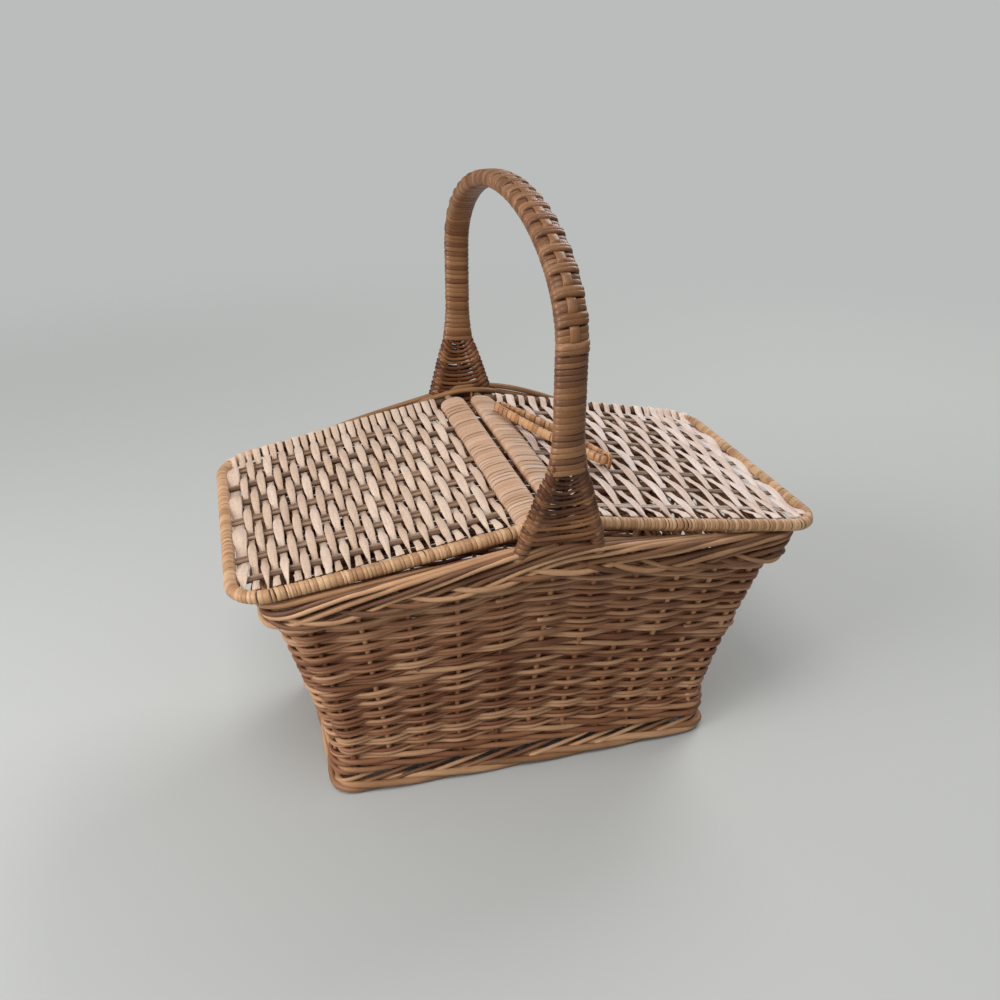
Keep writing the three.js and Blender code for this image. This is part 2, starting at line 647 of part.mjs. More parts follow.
/** The tie that holds the loop's round end: an arch of cane, one foot inside the eye and one outside. */
function loopTie(bottom, crown) {
  const radius = LOOP_TIE_DIAMETER / 2;
  const outside = -(LOOP_EYE + LOOP_BAND_WIDTH / 2 + GAP + radius);
  const path = [[0, 0, bottom], [0, 0, crown - radius], [outside / 4, 0, crown], [outside * 3 / 4, 0, crown],
    [outside, 0, crown - radius], [outside, 0, bottom]];
  return loftBody(sweptBar(path, [0, 1, 0], roundSection(radius, 8)));
}

// Assembly

const palette = {
  body_willow: new THREE.MeshStandardMaterial({ color: '#9c7a55', roughness: 0.75, metalness: 0 }),
  lid_willow: new THREE.MeshStandardMaterial({ color: '#b9a088', roughness: 0.8, metalness: 0 }),
  bar_cane: new THREE.MeshStandardMaterial({ color: '#d0b79e', roughness: 0.6, metalness: 0 }),
  handle_cane: new THREE.MeshStandardMaterial({ color: '#b98a5b', roughness: 0.5, metalness: 0 }),
  loop_cane: new THREE.MeshStandardMaterial({ color: '#a97044', roughness: 0.55, metalness: 0 }),
};

const basket = new THREE.Group();

/** Adds a named piece to a group and returns it. */
function piece(parent, name, geometry, finish) {
  const mesh = new THREE.Mesh(geometry, palette[finish].clone());
  mesh.name = name;
  parent.add(mesh);
  return mesh;
}

piece(basket, 'foot_border', footBorder(), 'body_willow');
piece(basket, 'base_panel', basePanel(), 'body_willow');
piece(basket, 'bottom_wale', ringBody(wale(BOTTOM_WALE_SHARE, LOWER_SIDING_SHARE)), 'body_willow');
piece(basket, 'lower_siding', siding(LOWER_SIDING_SHARE, MIDDLE_WALE_SHARE, LOWER_COURSES), 'body_willow');
piece(basket, 'middle_wale', ringBody(wale(MIDDLE_WALE_SHARE, UPPER_SIDING_SHARE)), 'body_willow');
piece(basket, 'upper_siding', siding(UPPER_SIDING_SHARE, RIM_BORDER_SHARE, UPPER_COURSES), 'body_willow');
piece(basket, 'rim_border', rimBorder(), 'body_willow');

const corners = [['front_left', -1, -1], ['front_right', 1, -1], ['back_left', -1, 1], ['back_right', 1, 1]];
corners.forEach(([name, sideX, sideY]) => {
  piece(basket, `corner_stake_${name}`, cornerStake(sideX, sideY), 'body_willow');
  piece(basket, `handle_leg_${name}`, legBody(sideX, sideY), 'handle_cane');
  const tie = piece(basket, `hinge_tie_${name}`, hingeTie(), 'bar_cane');
  tie.position.set(sideX * HINGE_OFFSET, sideY * (stickEnd() - HINGE_STICK_END / 2), HINGE_HEIGHT);
});
piece(basket, 'handle_bow', handleBow(), 'handle_cane');
piece(basket, 'handle_leader', handleLeader(), 'handle_cane');
piece(basket, 'handle_web_front', handleWeb(-1), 'handle_cane');
piece(basket, 'handle_web_back', handleWeb(1), 'handle_cane');

/** A lid's frame, set at its hinge line and sloping down outwards; the left one is turned half round. */
function lidFrame(side) {
  const turned = new THREE.Group();
  turned.rotation.z = side > 0 ? 0 : Math.PI;
  const hinge = new THREE.Group();
  hinge.position.set(HINGE_OFFSET, 0, HINGE_HEIGHT);
  hinge.rotation.y = LID_TILT;
  turned.add(hinge);
  basket.add(turned);
  return hinge;
}

const panelGeometry = lidPanel();
const lids = { left: lidFrame(-1), right: lidFrame(1) };
Object.entries(lids).forEach(([name, lid]) => {
  piece(lid, `lid_${name}_bar`, lidBar(), 'bar_cane');
  piece(lid, `lid_${name}_hinge_stick`, hingeStick(), 'body_willow');
  piece(lid, `lid_${name}_rod`, lidRod(), 'handle_cane');
  piece(lid, `lid_${name}_panel`, panelGeometry, 'lid_willow');
});

const loopMiddle = BAR_THICKNESS / 2 + GAP + LOOP_BAND_HEIGHT / 2;
const loopFrame = new THREE.Group();
loopFrame.position.set(LOOP_TIE_OUT, LOOP_TIE_SIDE, 0);
loopFrame.rotation.z = radians(LOOP_ANGLE);
lids.right.add(loopFrame);
piece(loopFrame, 'closing_loop', closingLoop(), 'loop_cane').position.z = loopMiddle;
const tieCrown = loopMiddle + LOOP_BAND_HEIGHT / 2 + GAP + LOOP_TIE_DIAMETER / 2;
const tieFoot = LATTICE_THICKNESS / 2 + LATTICE_WAVE + GAP;
piece(loopFrame, 'loop_tie', loopTie(tieFoot, tieCrown), 'loop_cane');

export default basket;
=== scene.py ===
# %% [markdown]
# # A willow picnic basket
#
# The real basket is made of a few hundred willow rods, split willow strips and flat cane, bent over and
# under each other. A picture of a weave would look flat from the side, so every rod here is a piece of
# mesh: a section carried along a path. Numpy works out the paths of a whole band at once, and one function
# skins them all.

import bpy
import numpy as np
from mathutils import Matrix


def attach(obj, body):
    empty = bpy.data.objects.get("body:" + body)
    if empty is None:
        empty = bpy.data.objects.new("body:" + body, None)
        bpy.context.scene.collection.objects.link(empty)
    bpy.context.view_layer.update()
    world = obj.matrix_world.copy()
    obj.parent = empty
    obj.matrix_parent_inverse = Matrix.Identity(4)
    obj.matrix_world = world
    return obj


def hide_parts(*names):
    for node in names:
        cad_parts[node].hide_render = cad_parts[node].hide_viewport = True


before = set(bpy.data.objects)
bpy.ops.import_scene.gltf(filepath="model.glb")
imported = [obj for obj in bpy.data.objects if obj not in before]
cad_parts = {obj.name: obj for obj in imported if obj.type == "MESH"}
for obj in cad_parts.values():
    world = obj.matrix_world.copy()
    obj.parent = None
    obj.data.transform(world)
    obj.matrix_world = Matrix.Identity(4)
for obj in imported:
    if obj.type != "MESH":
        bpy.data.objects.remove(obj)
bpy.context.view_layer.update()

MM = 0.001
TAU = 2 * np.pi

# %% [markdown]
# ## Camera
#
# The camera stands to the left, in front and above, tilted down. Its place and lens were solved from the
# basket's own corners in the photo. A target could aim it, but three angles are plainer: how far it is
# turned, dipped and rolled.

# %% Camera
CAMERA_PLACE = (-208.7, -729.6, 578.6)
CAMERA_TURN, CAMERA_DIP, CAMERA_ROLL = np.radians([15.79, 25.96, 0.27])


def camera_axes(turn, dip, roll):
    """Right, up and forward: forward is +Y turned to the right and dipped, and roll mixes right and up."""
    forward = np.array([np.sin(turn) * np.cos(dip), np.cos(turn) * np.cos(dip), -np.sin(dip)])
    level = np.array([np.cos(turn), -np.sin(turn), 0.0])
    upright = np.cross(level, forward)
    right = level * np.cos(roll) + upright * np.sin(roll)
    return right, np.cross(right, forward), forward


def put(thing, axes, place):
    """Links an object to the scene and gives it the directions of its X, Y and Z axes and its place in m."""
    bpy.context.collection.objects.link(thing)
    pose = np.eye(4)
    pose[:3, :3], pose[:3, 3] = np.column_stack(axes), place
    thing.matrix_world = Matrix(pose.tolist())


right, upward, forward = camera_axes(CAMERA_TURN, CAMERA_DIP, CAMERA_ROLL)
camera = bpy.data.objects.new("camera", bpy.data.cameras.new("camera"))
camera.data.sensor_width, camera.data.lens, camera.data.clip_end = 36, 36.18, 100
put(camera, (right, upward, -forward), np.array(CAMERA_PLACE) * MM)
bpy.context.scene.camera = camera
print("camera looks along", forward.round(3))

# %% [markdown]
# ## Floor and light
#
# A plain pale floor and soft light show the weave's depth. One large lamp hangs high behind the basket on
# its right and lights the lids, one stands low on its left, and a smaller one over its front puts a light
# line on every rod. A sun lamp would cut hard shadows into every gap, so all three are area lamps.

# %% Colours and nodes


def linear(hex_code):
    """Linear colour of an sRGB hex code: a power curve of 2.4 with a short straight foot."""
    srgb = np.array([int(hex_code[i:i + 2], 16) for i in (1, 3, 5)]) / 255
    values = np.where(srgb <= 0.04045, srgb / 12.92, ((srgb + 0.055) / 1.055) ** 2.4)
    return (*values.tolist(), 1.0)


def fill(node, **inputs):
    """Gives each named or numbered input of a node a value, or links it to a socket."""
    for key, value in inputs.items():
        socket = node.inputs[int(key[1:]) if key[1:].isdigit() else key.replace("_", " ")]
        if isinstance(value, bpy.types.NodeSocket):
            node.id_data.links.new(value, socket)
        else:
            socket.default_value = value
    return node


def add(tree, kind, settings=None, **inputs):
    """Adds a node to a tree, sets its settings and fills its inputs."""
    node = tree.nodes.new(kind)
    for key, value in (settings or {}).items():
        setattr(node, key, value)
    return fill(node, **inputs)


def new_material(name):
    """A new material, its node tree, which holds a shader and an output, and that shader."""
    material = bpy.data.materials.new(name)
    material.use_nodes = True
    return material, material.node_tree, material.node_tree.nodes["Principled BSDF"]


print("linear value of a mid brown:", [round(v, 3) for v in linear("#9a7550")[:3]])

# %% [markdown]
# Near the basket the floor holds its shadow. Farther out it fades, for the camera alone, to the plain grey
# of the background, so there is no horizon line.

# %% Floor
BACKDROP = linear("#babdbb")
FADE_FROM, FADE_TO = 0.55, 1.9
paper, paper_tree, paper_shader = new_material("matt_backdrop_paper")
fill(paper_shader, Base_Color=linear("#adaeab"), Roughness=0.9)
floor_place = add(paper_tree, "ShaderNodeTexCoord")
floor_ray = add(paper_tree, "ShaderNodeLightPath")
away = add(paper_tree, "ShaderNodeVectorMath", {"operation": "LENGTH"}, _0=floor_place.outputs["Object"])
fade = add(paper_tree, "ShaderNodeMapRange", {"interpolation_type": "SMOOTHSTEP"}, _0=away.outputs["Value"],
           _1=FADE_FROM, _2=FADE_TO)
seen = add(paper_tree, "ShaderNodeMath", {"operation": "MULTIPLY"}, _0=fade.outputs[0],
           _1=floor_ray.outputs["Is Camera Ray"])
plain = add(paper_tree, "ShaderNodeEmission", Color=BACKDROP, Strength=1.0)
faded = add(paper_tree, "ShaderNodeMixShader", _0=seen.outputs[0], _1=paper_shader.outputs[0],
            _2=plain.outputs[0])
fill(paper_tree.nodes["Material Output"], Surface=faded.outputs[0])

FLOOR_HALF = 30.0
floor_mesh = bpy.data.meshes.new("studio_floor")
floor_mesh.from_pydata([(x * FLOOR_HALF, y * FLOOR_HALF, 0) for x, y in ((-1, -1), (1, -1), (1, 1), (-1, 1))],
                       [], [(0, 1, 2, 3)])
floor_mesh.materials.append(paper)
floor = bpy.data.objects.new("studio_floor", floor_mesh)
bpy.context.collection.objects.link(floor)
print("floor of", 2 * FLOOR_HALF, "m")

# %% Light
BASKET_MIDDLE = (0.0, 0.0, 0.2)


def area_lamp(name, place, size, watts):
    """A square lamp at a place, whose -Z axis points at the basket's middle."""
    lamp = bpy.data.objects.new(name, bpy.data.lights.new(name, "AREA"))
    lamp.data.size, lamp.data.energy = size, watts
    away = np.array(place) - BASKET_MIDDLE
    away /= np.linalg.norm(away)
    side = np.cross((0.0, 1.0, 0.01), away)
    side /= np.linalg.norm(side)
    put(lamp, (side, np.cross(away, side), away), place)


area_lamp("window_light", (1.7, 1.3, 1.9), 1.5, 44)
area_lamp("side_light", (-1.6, -0.55, 0.85), 1.0, 31)
area_lamp("ceiling_light", (-0.5, -0.9, 2.2), 0.9, 22)
world = bpy.data.worlds.new("pale_room")
bpy.context.scene.world = world
world.use_nodes = True
room = world.node_tree
lit = fill(room.nodes["Background"], Color=linear("#eceef0"), Strength=0.4)
room_ray = add(room, "ShaderNodeLightPath")
shown = add(room, "ShaderNodeBackground", Color=BACKDROP, Strength=1.0)
picked_room = add(room, "ShaderNodeMixShader", _0=room_ray.outputs["Is Camera Ray"],
                  _1=lit.outputs[0], _2=shown.outputs[0])
fill(room.nodes["World Output"], Surface=picked_room.outputs[0])
bpy.context.scene.view_settings.view_transform = "Standard"

# %% [markdown]
# ## How a rod is made
#
# A rod, strip or stick is a section carried along a path. Blender's bevelled curves do this too, but can't
# change a section's shape or turn it as freely. Here the paths of many rods are one array, which is
# skinned in one step. Each rod gets UV coordinates that run along it in metres, for the grain, and a
# random tone.

# %% Sections carried along paths
WAVES = 5
# By up to this many metres a rod's grain starts elsewhere than its neighbour's
GRAIN_SHIFT = 7


def mix(low, high, share):
    """Linear blend from low to high."""
    return low + (high - low) * share


def unit(vectors):
    """Vectors scaled to length one."""
    return vectors / np.linalg.norm(vectors, axis=-1, keepdims=True)


def points(x, y, z):
    """Points put together from their x, y and z, each of them a number or an array."""
    return np.stack(np.broadcast_arrays(x, y, z), -1)


def columns(*values):
    """Every combination of the given values, as one column for each of them."""
    return [grid.ravel()[:, None] for grid in np.meshgrid(*values, indexing="ij")]


def direction(path, closed):
    """Unit direction at each point: from the point before it to the point after it."""
    return unit(np.roll(path, -1, -2) - np.roll(path, 1, -2) if closed else np.gradient(path, axis=-2))


def oval(sides, squareness):
    """Cosines and sines round a section, raised to 2 / squareness: 2 is an ellipse, 4 nearly a rectangle."""
    angle = TAU * np.arange(sides) / sides
    return [np.sign(f) * np.abs(f) ** (2 / squareness) for f in (np.cos(angle), np.sin(angle))]


def skin(rings, lengths, tone, closed):
    """Faces and UVs over rings of points, given as an array of rods x steps x sides x 3.

    A face joins corner k and k + 1 of ring i with those of ring i + 1. U is the length along the rod and
    V the share of the way round. An open rod gets a flat face on each end.
    """
    rods, steps, sides, _ = rings.shape
    rod, ring, corner = [v[..., None] for v in np.indices((rods, steps if closed else steps - 1, sides))]
    ring, corner = ring + [0, 1, 1, 0], corner + [0, 0, 1, 1]
    faces = [((rod * steps + ring % steps) * sides + corner % sides).reshape(-1, 4)]
    uvs = [np.stack([lengths[rod, ring], corner / sides], -1).reshape(-1, 2)]
    if not closed:
        start = np.arange(rods)[:, None] * steps * sides + np.arange(sides)
        faces += [start, start[:, ::-1] + (steps - 1) * sides]
        for end in (0, steps - 1):
            flat = np.broadcast_arrays(lengths[:, end, None], np.arange(sides) / sides)
            uvs.append(np.stack(flat, -1).reshape(-1, 2))
    return dict(points=rings.reshape(-1, 3), faces=faces, uvs=uvs, tone=tone.repeat(steps * sides),
                groove=np.zeros(rods * steps * sides))


def sweep(path, half_width, up, seed, half_height=None, sides=8, squareness=2, closed=False, roll=0.0):
    """Rods along paths, given as an array of rods x steps x 3 in mm.

    A point of the skin is path + across * a + lift * b. Across is along x up, lift is across x along, and
    (a, b) is the section's point (half_width * cos, half_height * sin), turned by roll. A rod that is given
    no half height is round.
    """
    along = direction(path, closed)
    across = unit(np.cross(along, up))
    lift = np.cross(across, along)
    cosine, sine = oval(sides, squareness)
    sizes = half_width, half_width if half_height is None else half_height, roll
    wide, high, turn = [np.broadcast_to(v, path.shape[:2])[..., None] for v in sizes]
    wide, high = wide * cosine, high * sine
    a = wide * np.cos(turn) - high * np.sin(turn)
    b = wide * np.sin(turn) + high * np.cos(turn)
    rings = path[:, :, None] + across[:, :, None] * a[..., None] + lift[:, :, None] * b[..., None]
    hop = np.linalg.norm(np.roll(path, -1, 1) - path, axis=-1)
    lengths = np.concatenate([np.zeros((len(path), 1)), np.cumsum(hop, 1)], 1) * MM
    tone = np.random.default_rng(seed).random(len(path))
    return skin(rings, lengths + tone[:, None] * GRAIN_SHIFT, tone, closed)


def smooth_noise(x, seed):
    """A smooth wandering value near -1 to 1: 1.4 times the mean of sines of random phase and pace."""
    rng = np.random.default_rng(seed)
    pace, phase = rng.uniform(0.35, 1.9, WAVES), rng.uniform(0, TAU, WAVES)
    return np.sin(np.asarray(x)[..., None] * pace + phase).sum(-1) / WAVES * 1.4


print("a section of 6 sides:", np.round(oval(6, 2.0), 2).tolist())

# %% [markdown]
# ## How cane binding is made
#
# The handle, its legs, the lids' rods and bars and the closing loop are bound with flat cane, turn beside
# turn. A bump map would leave the outline smooth, so the turns are real: the core is skinned with seven
# rings to each turn, each pushed out by the turn's dome. A few grooves gape, and the material paints shade
# into them, and a faint dark line into the others, by a value stored on each point.

# %% Bound cores
TURN_SHARE = np.array([0, 0.08, 0.2, 0.4, 0.6, 0.8, 0.92])
TURN_DOME = np.array([0, 0.62, 0.9, 1, 1, 0.9, 0.62])


def run_of(path):
    """Distance along a path, from its first point."""
    return np.concatenate([[0], np.cumsum(np.linalg.norm(np.diff(path, axis=0), axis=1))])


def along_path(path, run, spots):
    """Points of a path at given distances along it."""
    return np.stack([np.interp(spots, run, path[:, axis]) for axis in range(3)], -1)


def bind(path, half_width, half_height, up, pitch, rise, seed, sides, squareness, gape, slant=0.0,
         jitter=0.15, faint=0.3, depth=0.4, slit=None, grow=1.0, soft=0.55, closed=False, extra=None):
    """Cane bound round a core whose middle follows a path.

    Ring j of turn n lies at edge(n) + share(j) * width(n). Its section is the core's oval grown by
    rise * dome(j) * (a random share for the turn), and each point slides along the path by
    slant * cosine, so that the turns lie askew. Widths vary by jitter, and the last turn is grow times as
    wide as the first. A share of the edges, gape, stands open: there the section shrinks by depth, and
    painted shade darkens it round one side, about the angle slit. The others get a faint painted dark
    line. On the rings beside an edge soft is left of it. The function extra adds heights and painted
    shadows of its own.
    """
    rng = np.random.default_rng(seed)
    run = run_of(path)
    turns = max(3, round(run[-1] / pitch))
    widths = (1 + jitter * rng.uniform(-1, 1, turns)) * np.linspace(1, grow, turns)
    edges = np.concatenate([[0], np.cumsum(widths)]) * run[-1] / widths.sum()
    spots = (edges[:-1, None] + np.diff(edges)[:, None] * TURN_SHARE).ravel()
    number = np.repeat(np.arange(turns), TURN_SHARE.size)
    share, dome = np.tile(TURN_SHARE, turns), np.tile(TURN_DOME, turns)
    if not closed:
        spots, number = np.append(spots, run[-1]), np.append(number, turns - 1)
        share, dome = np.append(share, 1.0), np.append(dome, 0)
    core = along_path(path, run, spots)
    heading = direction(core, closed)
    up_here = along_path(np.broadcast_to(up, path.shape), run, spots)
    across = unit(np.cross(heading, up_here))
    lift = np.cross(across, heading)
    cosine, sine = oval(sides, squareness)
    angle = TAU * np.arange(sides) / sides

    edge = number + (share > 0.5)
    middle = rng.uniform(0, TAU, turns + 1) if slit is None else slit + rng.uniform(-0.4, 0.4, turns + 1)
    spread = rng.uniform(0.3, 1.6, turns + 1)[edge][:, None]
    # gap is the painted shade of each edge: full where the cane gapes, a faint dark line elsewhere
    gap = np.where(rng.random(turns + 1) < gape, 1.0, faint)[edge][:, None]
    gap = gap * np.exp(-((1 - np.cos(angle - middle[edge][:, None])) / spread) ** 2)
    gap = gap * np.interp(np.minimum(share, 1 - share), [0, 0.08, 0.2], [1, soft, 0])[:, None]
    height = (rise * dome * (0.82 + 0.36 * rng.random(turns))[number])[:, None] - depth * gap
    if extra is not None:
        more, shadow = extra(number + share, angle)
        height, gap = height + more, np.maximum(gap, shadow)

    wide = np.interp(spots, run, np.broadcast_to(half_width, run.shape))[:, None] + height
    high = np.interp(spots, run, np.broadcast_to(half_height, run.shape))[:, None] + height
    a, b = (wide * cosine)[..., None], (high * sine)[..., None]
    slide = (slant * (0.7 + 0.6 * rng.random(turns))[number])[:, None] * np.cos(angle)
    rings = core[:, None] + across[:, None] * a + lift[:, None] * b + heading[:, None] * slide[..., None]
    turn_u = np.append(number + share, turns) if closed else number + share
    part = skin(rings[None], turn_u[None], np.zeros(1), closed)
    part["tone"] = np.repeat(rng.random(turns)[number], sides)
    # Painted shade in the grooves, which the material mixes towards its dark gap colour
    part["groove"] = gap.ravel()
    return part


print("heights across one turn:", dict(zip(TURN_SHARE.tolist(), TURN_DOME.tolist())))

# %% Parts joined into a piece


def make_piece(name, parts, material, replaced=(), body="basket"):
    """Joins parts into one mesh object, in metres, with its UVs, tone and the painted shade of its grooves.
    """
    starts = np.cumsum([0] + [len(part["points"]) for part in parts])
    polygons = [faces + start for part, start in zip(parts, starts) for faces in part["faces"]]
    corners = np.concatenate([faces.ravel() for faces in polygons])
    sizes = np.concatenate([np.full(len(faces), faces.shape[1]) for faces in polygons])
    places = np.concatenate([part["points"] for part in parts]) * MM
    mesh = bpy.data.meshes.new(name)
    mesh.vertices.add(len(places))
    mesh.vertices.foreach_set("co", places.astype(np.float32).ravel())
    mesh.loops.add(len(corners))
    mesh.loops.foreach_set("vertex_index", corners.astype(np.int32))
    mesh.polygons.add(len(sizes))
    mesh.polygons.foreach_set("loop_start", (np.cumsum(sizes) - sizes).astype(np.int32))
    mesh.update(calc_edges=True)
    uvs = np.concatenate([uv for part in parts for uv in part["uvs"]])
    mesh.uv_layers.new(name="along").uv.foreach_set("vector", uvs.astype(np.float32).ravel())
    for value in ("tone", "groove"):
        layer = mesh.attributes.new(value, "FLOAT", "POINT")
        layer.data.foreach_set("value", np.concatenate([part[value] for part in parts]).astype(np.float32))
    mesh.shade_smooth()
    mesh.validate()
    mesh.materials.append(material)
    piece = bpy.data.objects.new(name, mesh)
    bpy.context.collection.objects.link(piece)
    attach(piece, body)
    if replaced:
        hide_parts(*replaced)
    print(f"{name}: {len(places)} points, {int((sizes - 2).sum())} triangles")


def moved(part, place):
    """The part with its points sent through a function of their x, y and z."""
    return dict(part, points=place(*part["points"].T))


print("pieces are built in mm and stored in m")

# %% [markdown]
# ## Finishes
#
# Willow rods are stained a satin brown that changes from rod to rod, with fine lines along the grain.
# Split willow is paler, greyer and quite matt, with a speckled face. Cane is the glossy outer skin of a
# climbing palm: each turn has its own tone, finely mottled, and painted shade darkens the grooves between
# turns. Colours come from the UVs and the values stored on the mesh, so that they follow each rod's bends.

# %% Willow and cane


# gap is the dark colour of the painted shade in a strand's grooves
def fibre_material(name, tones, along_scale, round_scale, speck, roughness, gap="#24140b", sheen=0.0):
    """A woody strand: three tones picked by the strand's own value, streaks along it, specks and painted
    shade in its grooves.

    A streak is 1 / along_scale long, in metres on a rod and in turns on a binding, and 1 / round_scale of
    the way round. Patches are about 40 mm wide. Specks are 1 mm, coarser than real ones, so that they show.
    """
    material, tree, shader = new_material(name)
    uv = add(tree, "ShaderNodeUVMap", {"uv_map": "along"})
    tone, groove = [add(tree, "ShaderNodeAttribute", {"attribute_name": key}) for key in ("tone", "groove")]
    place = add(tree, "ShaderNodeTexCoord")
    patches = add(tree, "ShaderNodeTexNoise", Vector=place.outputs["Object"], Scale=26.0, Detail=2.0)
    stretched = add(tree, "ShaderNodeMapping", Vector=uv.outputs["UV"], Scale=(along_scale, round_scale, 1.0))
    streaks = add(tree, "ShaderNodeTexNoise", Vector=stretched.outputs["Vector"], Scale=1.0, Detail=4.0,
                  Roughness=0.65)
    specks = add(tree, "ShaderNodeTexNoise", Vector=place.outputs["Object"], Scale=1100.0, Detail=2.0)
    shade = add(tree, "ShaderNodeMath", {"operation": "MULTIPLY_ADD"}, _0=patches.outputs["Fac"], _1=0.9,
                _2=-0.45)
    picked = add(tree, "ShaderNodeMath", {"operation": "ADD"}, _0=shade.outputs[0], _1=tone.outputs["Fac"])
    ramp = add(tree, "ShaderNodeValToRGB", Fac=picked.outputs[0])
    stops = ramp.color_ramp.elements
    stops.new(0.5)
    for stop, where, colour in zip(stops, (0.05, 0.5, 0.95), tones):
        stop.position, stop.color = where, linear(colour)
    line = add(tree, "ShaderNodeMapRange", _0=streaks.outputs["Fac"], _1=0.3, _2=0.75, _3=0.78, _4=1.1)
    dots = add(tree, "ShaderNodeMapRange", _0=specks.outputs["Fac"], _1=0.3, _2=0.6, _3=1 - speck, _4=1.0)
    both = add(tree, "ShaderNodeMath", {"operation": "MULTIPLY"}, _0=line.outputs[0], _1=dots.outputs[0])
    toned = add(tree, "ShaderNodeVectorMath", {"operation": "SCALE"}, _0=ramp.outputs["Color"],
                Scale=both.outputs[0])
    # Painted shade: each point's stored value mixes the colour towards the dark gap colour
    final = add(tree, "ShaderNodeMix", {"data_type": "RGBA"}, _0=groove.outputs["Fac"],
                _6=toned.outputs[0], _7=linear(gap))
    rough = add(tree, "ShaderNodeMapRange", _0=streaks.outputs["Fac"], _1=0.2, _2=0.8, _3=roughness + 0.1,
                _4=roughness - 0.1)
    bump = add(tree, "ShaderNodeBump", Height=streaks.outputs["Fac"], Strength=0.12, Distance=0.0004)
    fill(shader, Base_Color=final.outputs[2], Roughness=rough.outputs[0], Normal=bump.outputs["Normal"],
         IOR=1.5, Specular_IOR_Level=0.35, Coat_Weight=sheen, Coat_Roughness=0.35)
    return material


# Stained willow rods: brown skin with a dry satin shine, streaks about 17 mm long and 1.5 mm wide
body_willow = fibre_material("stained_willow_rods", ("#71442a", "#936444", "#b68b67"), 60, 7, 0.12, 0.58)
# Willow rods on the rim and foot: the same rods where hands and floors have rubbed them paler
border_willow = fibre_material("rubbed_willow_rods", ("#65412a", "#8f6442", "#b98e69"), 50, 7, 0.12, 0.55)
# Old dark willow rods of the arch behind the bars
dark_willow = fibre_material("dark_willow_rods", ("#54351f", "#75502f", "#966c46"), 60, 7, 0.12, 0.55)
# Split willow strips: a pale, speckled matt face
lid_willow = fibre_material("split_willow_strips", ("#c1a48d", "#c9ae98", "#d2baa6"), 45, 9, 0.28, 0.75,
                            gap="#4a3628")
# The right lid's strips: a paler copy of the left lid's, painted sheen for the light that glances off them
# from behind
sheen_lid_willow = fibre_material("painted_sheen_willow_strips", ("#cbb1a1", "#d9c1b3", "#e5d2c7"), 45, 9, 0.24,
                                 0.72, gap="#4a3628")
# Bare willow of the lids' far edges, painted dark brown: painted shade for the shadow it lies in
shaded_bare_willow = fibre_material("painted_shade_bare_willow", ("#3a2618", "#4f3521", "#664830"), 60, 7, 0.12, 0.6)
# Weathered willow sticks under the strips: grey brown and dry
stick_willow = fibre_material("weathered_willow_sticks", ("#5e4534", "#7c5f4a", "#977a63"), 50, 6, 0.2, 0.72,
                              gap="#2a1a10")
# The right lid's sticks: a paler copy of the others, painted sheen for the light that glances off them from
# behind
sheen_stick_willow = fibre_material("painted_sheen_willow_sticks", ("#86705f", "#a48d7c", "#c2aea0"), 50, 6, 0.2,
                                   0.7, gap="#2a1a10")
# Pale bleached cane on the two bars: smooth and satin
bar_cane = fibre_material("bleached_flat_cane", ("#b0896b", "#bb977b", "#c5a48b"), 2.2, 60, 0.08, 0.5,
                          gap="#3c2517")
# Brown cane on the handle and its legs: satin with a thin sheen of old varnish
handle_cane = fibre_material("varnished_flat_cane", ("#694224", "#7b5231", "#916743"), 2.2, 60, 0.12, 0.45,
                             sheen=0.12)
# Reddish brown cane of the webs, painted darker than the handle's as shade for the near web, which is in
# shadow
web_cane_with_painted_shade = fibre_material("brown_web_cane_with_painted_shade", ("#532f19", "#6d4325", "#8d5f3a"), 40, 9, 0.12, 0.5)
# Golden cane on the lids' rods, less worn than the handle's
rod_cane = fibre_material("golden_flat_cane", ("#a07550", "#b58b63", "#c8a17a"), 2.2, 60, 0.12, 0.5,
                          gap="#2c1a0f", sheen=0.1)
# Reddish varnished cane of the closing loop
loop_cane = fibre_material("reddish_flat_cane", ("#a06f47", "#b68457", "#c99c70"), 2.2, 60, 0.1, 0.42,
                           gap="#2c180c", sheen=0.2)
print("finishes:", [m.name for m in bpy.data.materials if m.use_nodes])

# %% [markdown]
# ## Shape of the wall
#
# Seen from above, the basket is a rectangle with round corners and bowed long sides, and it grows towards
# the rim. A place on the wall is three numbers: how many stakes it is from the middle of the back, going
# clockwise, its share of the wall's height, and its distance outwards. A rod that passes in front of one
# stake and behind the next is then a cosine of the first number.

# %% Plan and height of the wall
STAKES = 36
SIDE_STAKES, CORNER_STAKES, END_STAKES = 5, 1, 3
FOOT = dict(length=164, depth=86, corner=16, bow=3)
RIM = dict(length=206, depth=123, corner=22, bow=24)
FLARE_FROM, FLARE_BEND = 0.2, 1.15
# How far from the middle and how high a lid's hinge line and its outer end lie
HINGE_OUT, HINGE_HEIGHT, LID_END_OUT, LID_END_HEIGHT = 14, 252, 225, 216
LID_TILT = np.arctan2(HINGE_HEIGHT - LID_END_HEIGHT, LID_END_OUT - HINGE_OUT)
# The rim lies this far under the lids' middle plane
LID_ROOM, PEAK_ROUNDNESS = 5.3, 20
RIM_PEAK = HINGE_HEIGHT + HINGE_OUT * np.tan(LID_TILT) - LID_ROOM / np.cos(LID_TILT)
# The rim's mean height, which turns mm into a share of the wall's height
MEAN_RIM = 225


def rim_top(x):
    """Height of the rim: it falls away from the middle with the lids' slope, and is round at the peak."""
    return RIM_PEAK - np.tan(LID_TILT) * np.hypot(x, PEAK_ROUNDNESS)


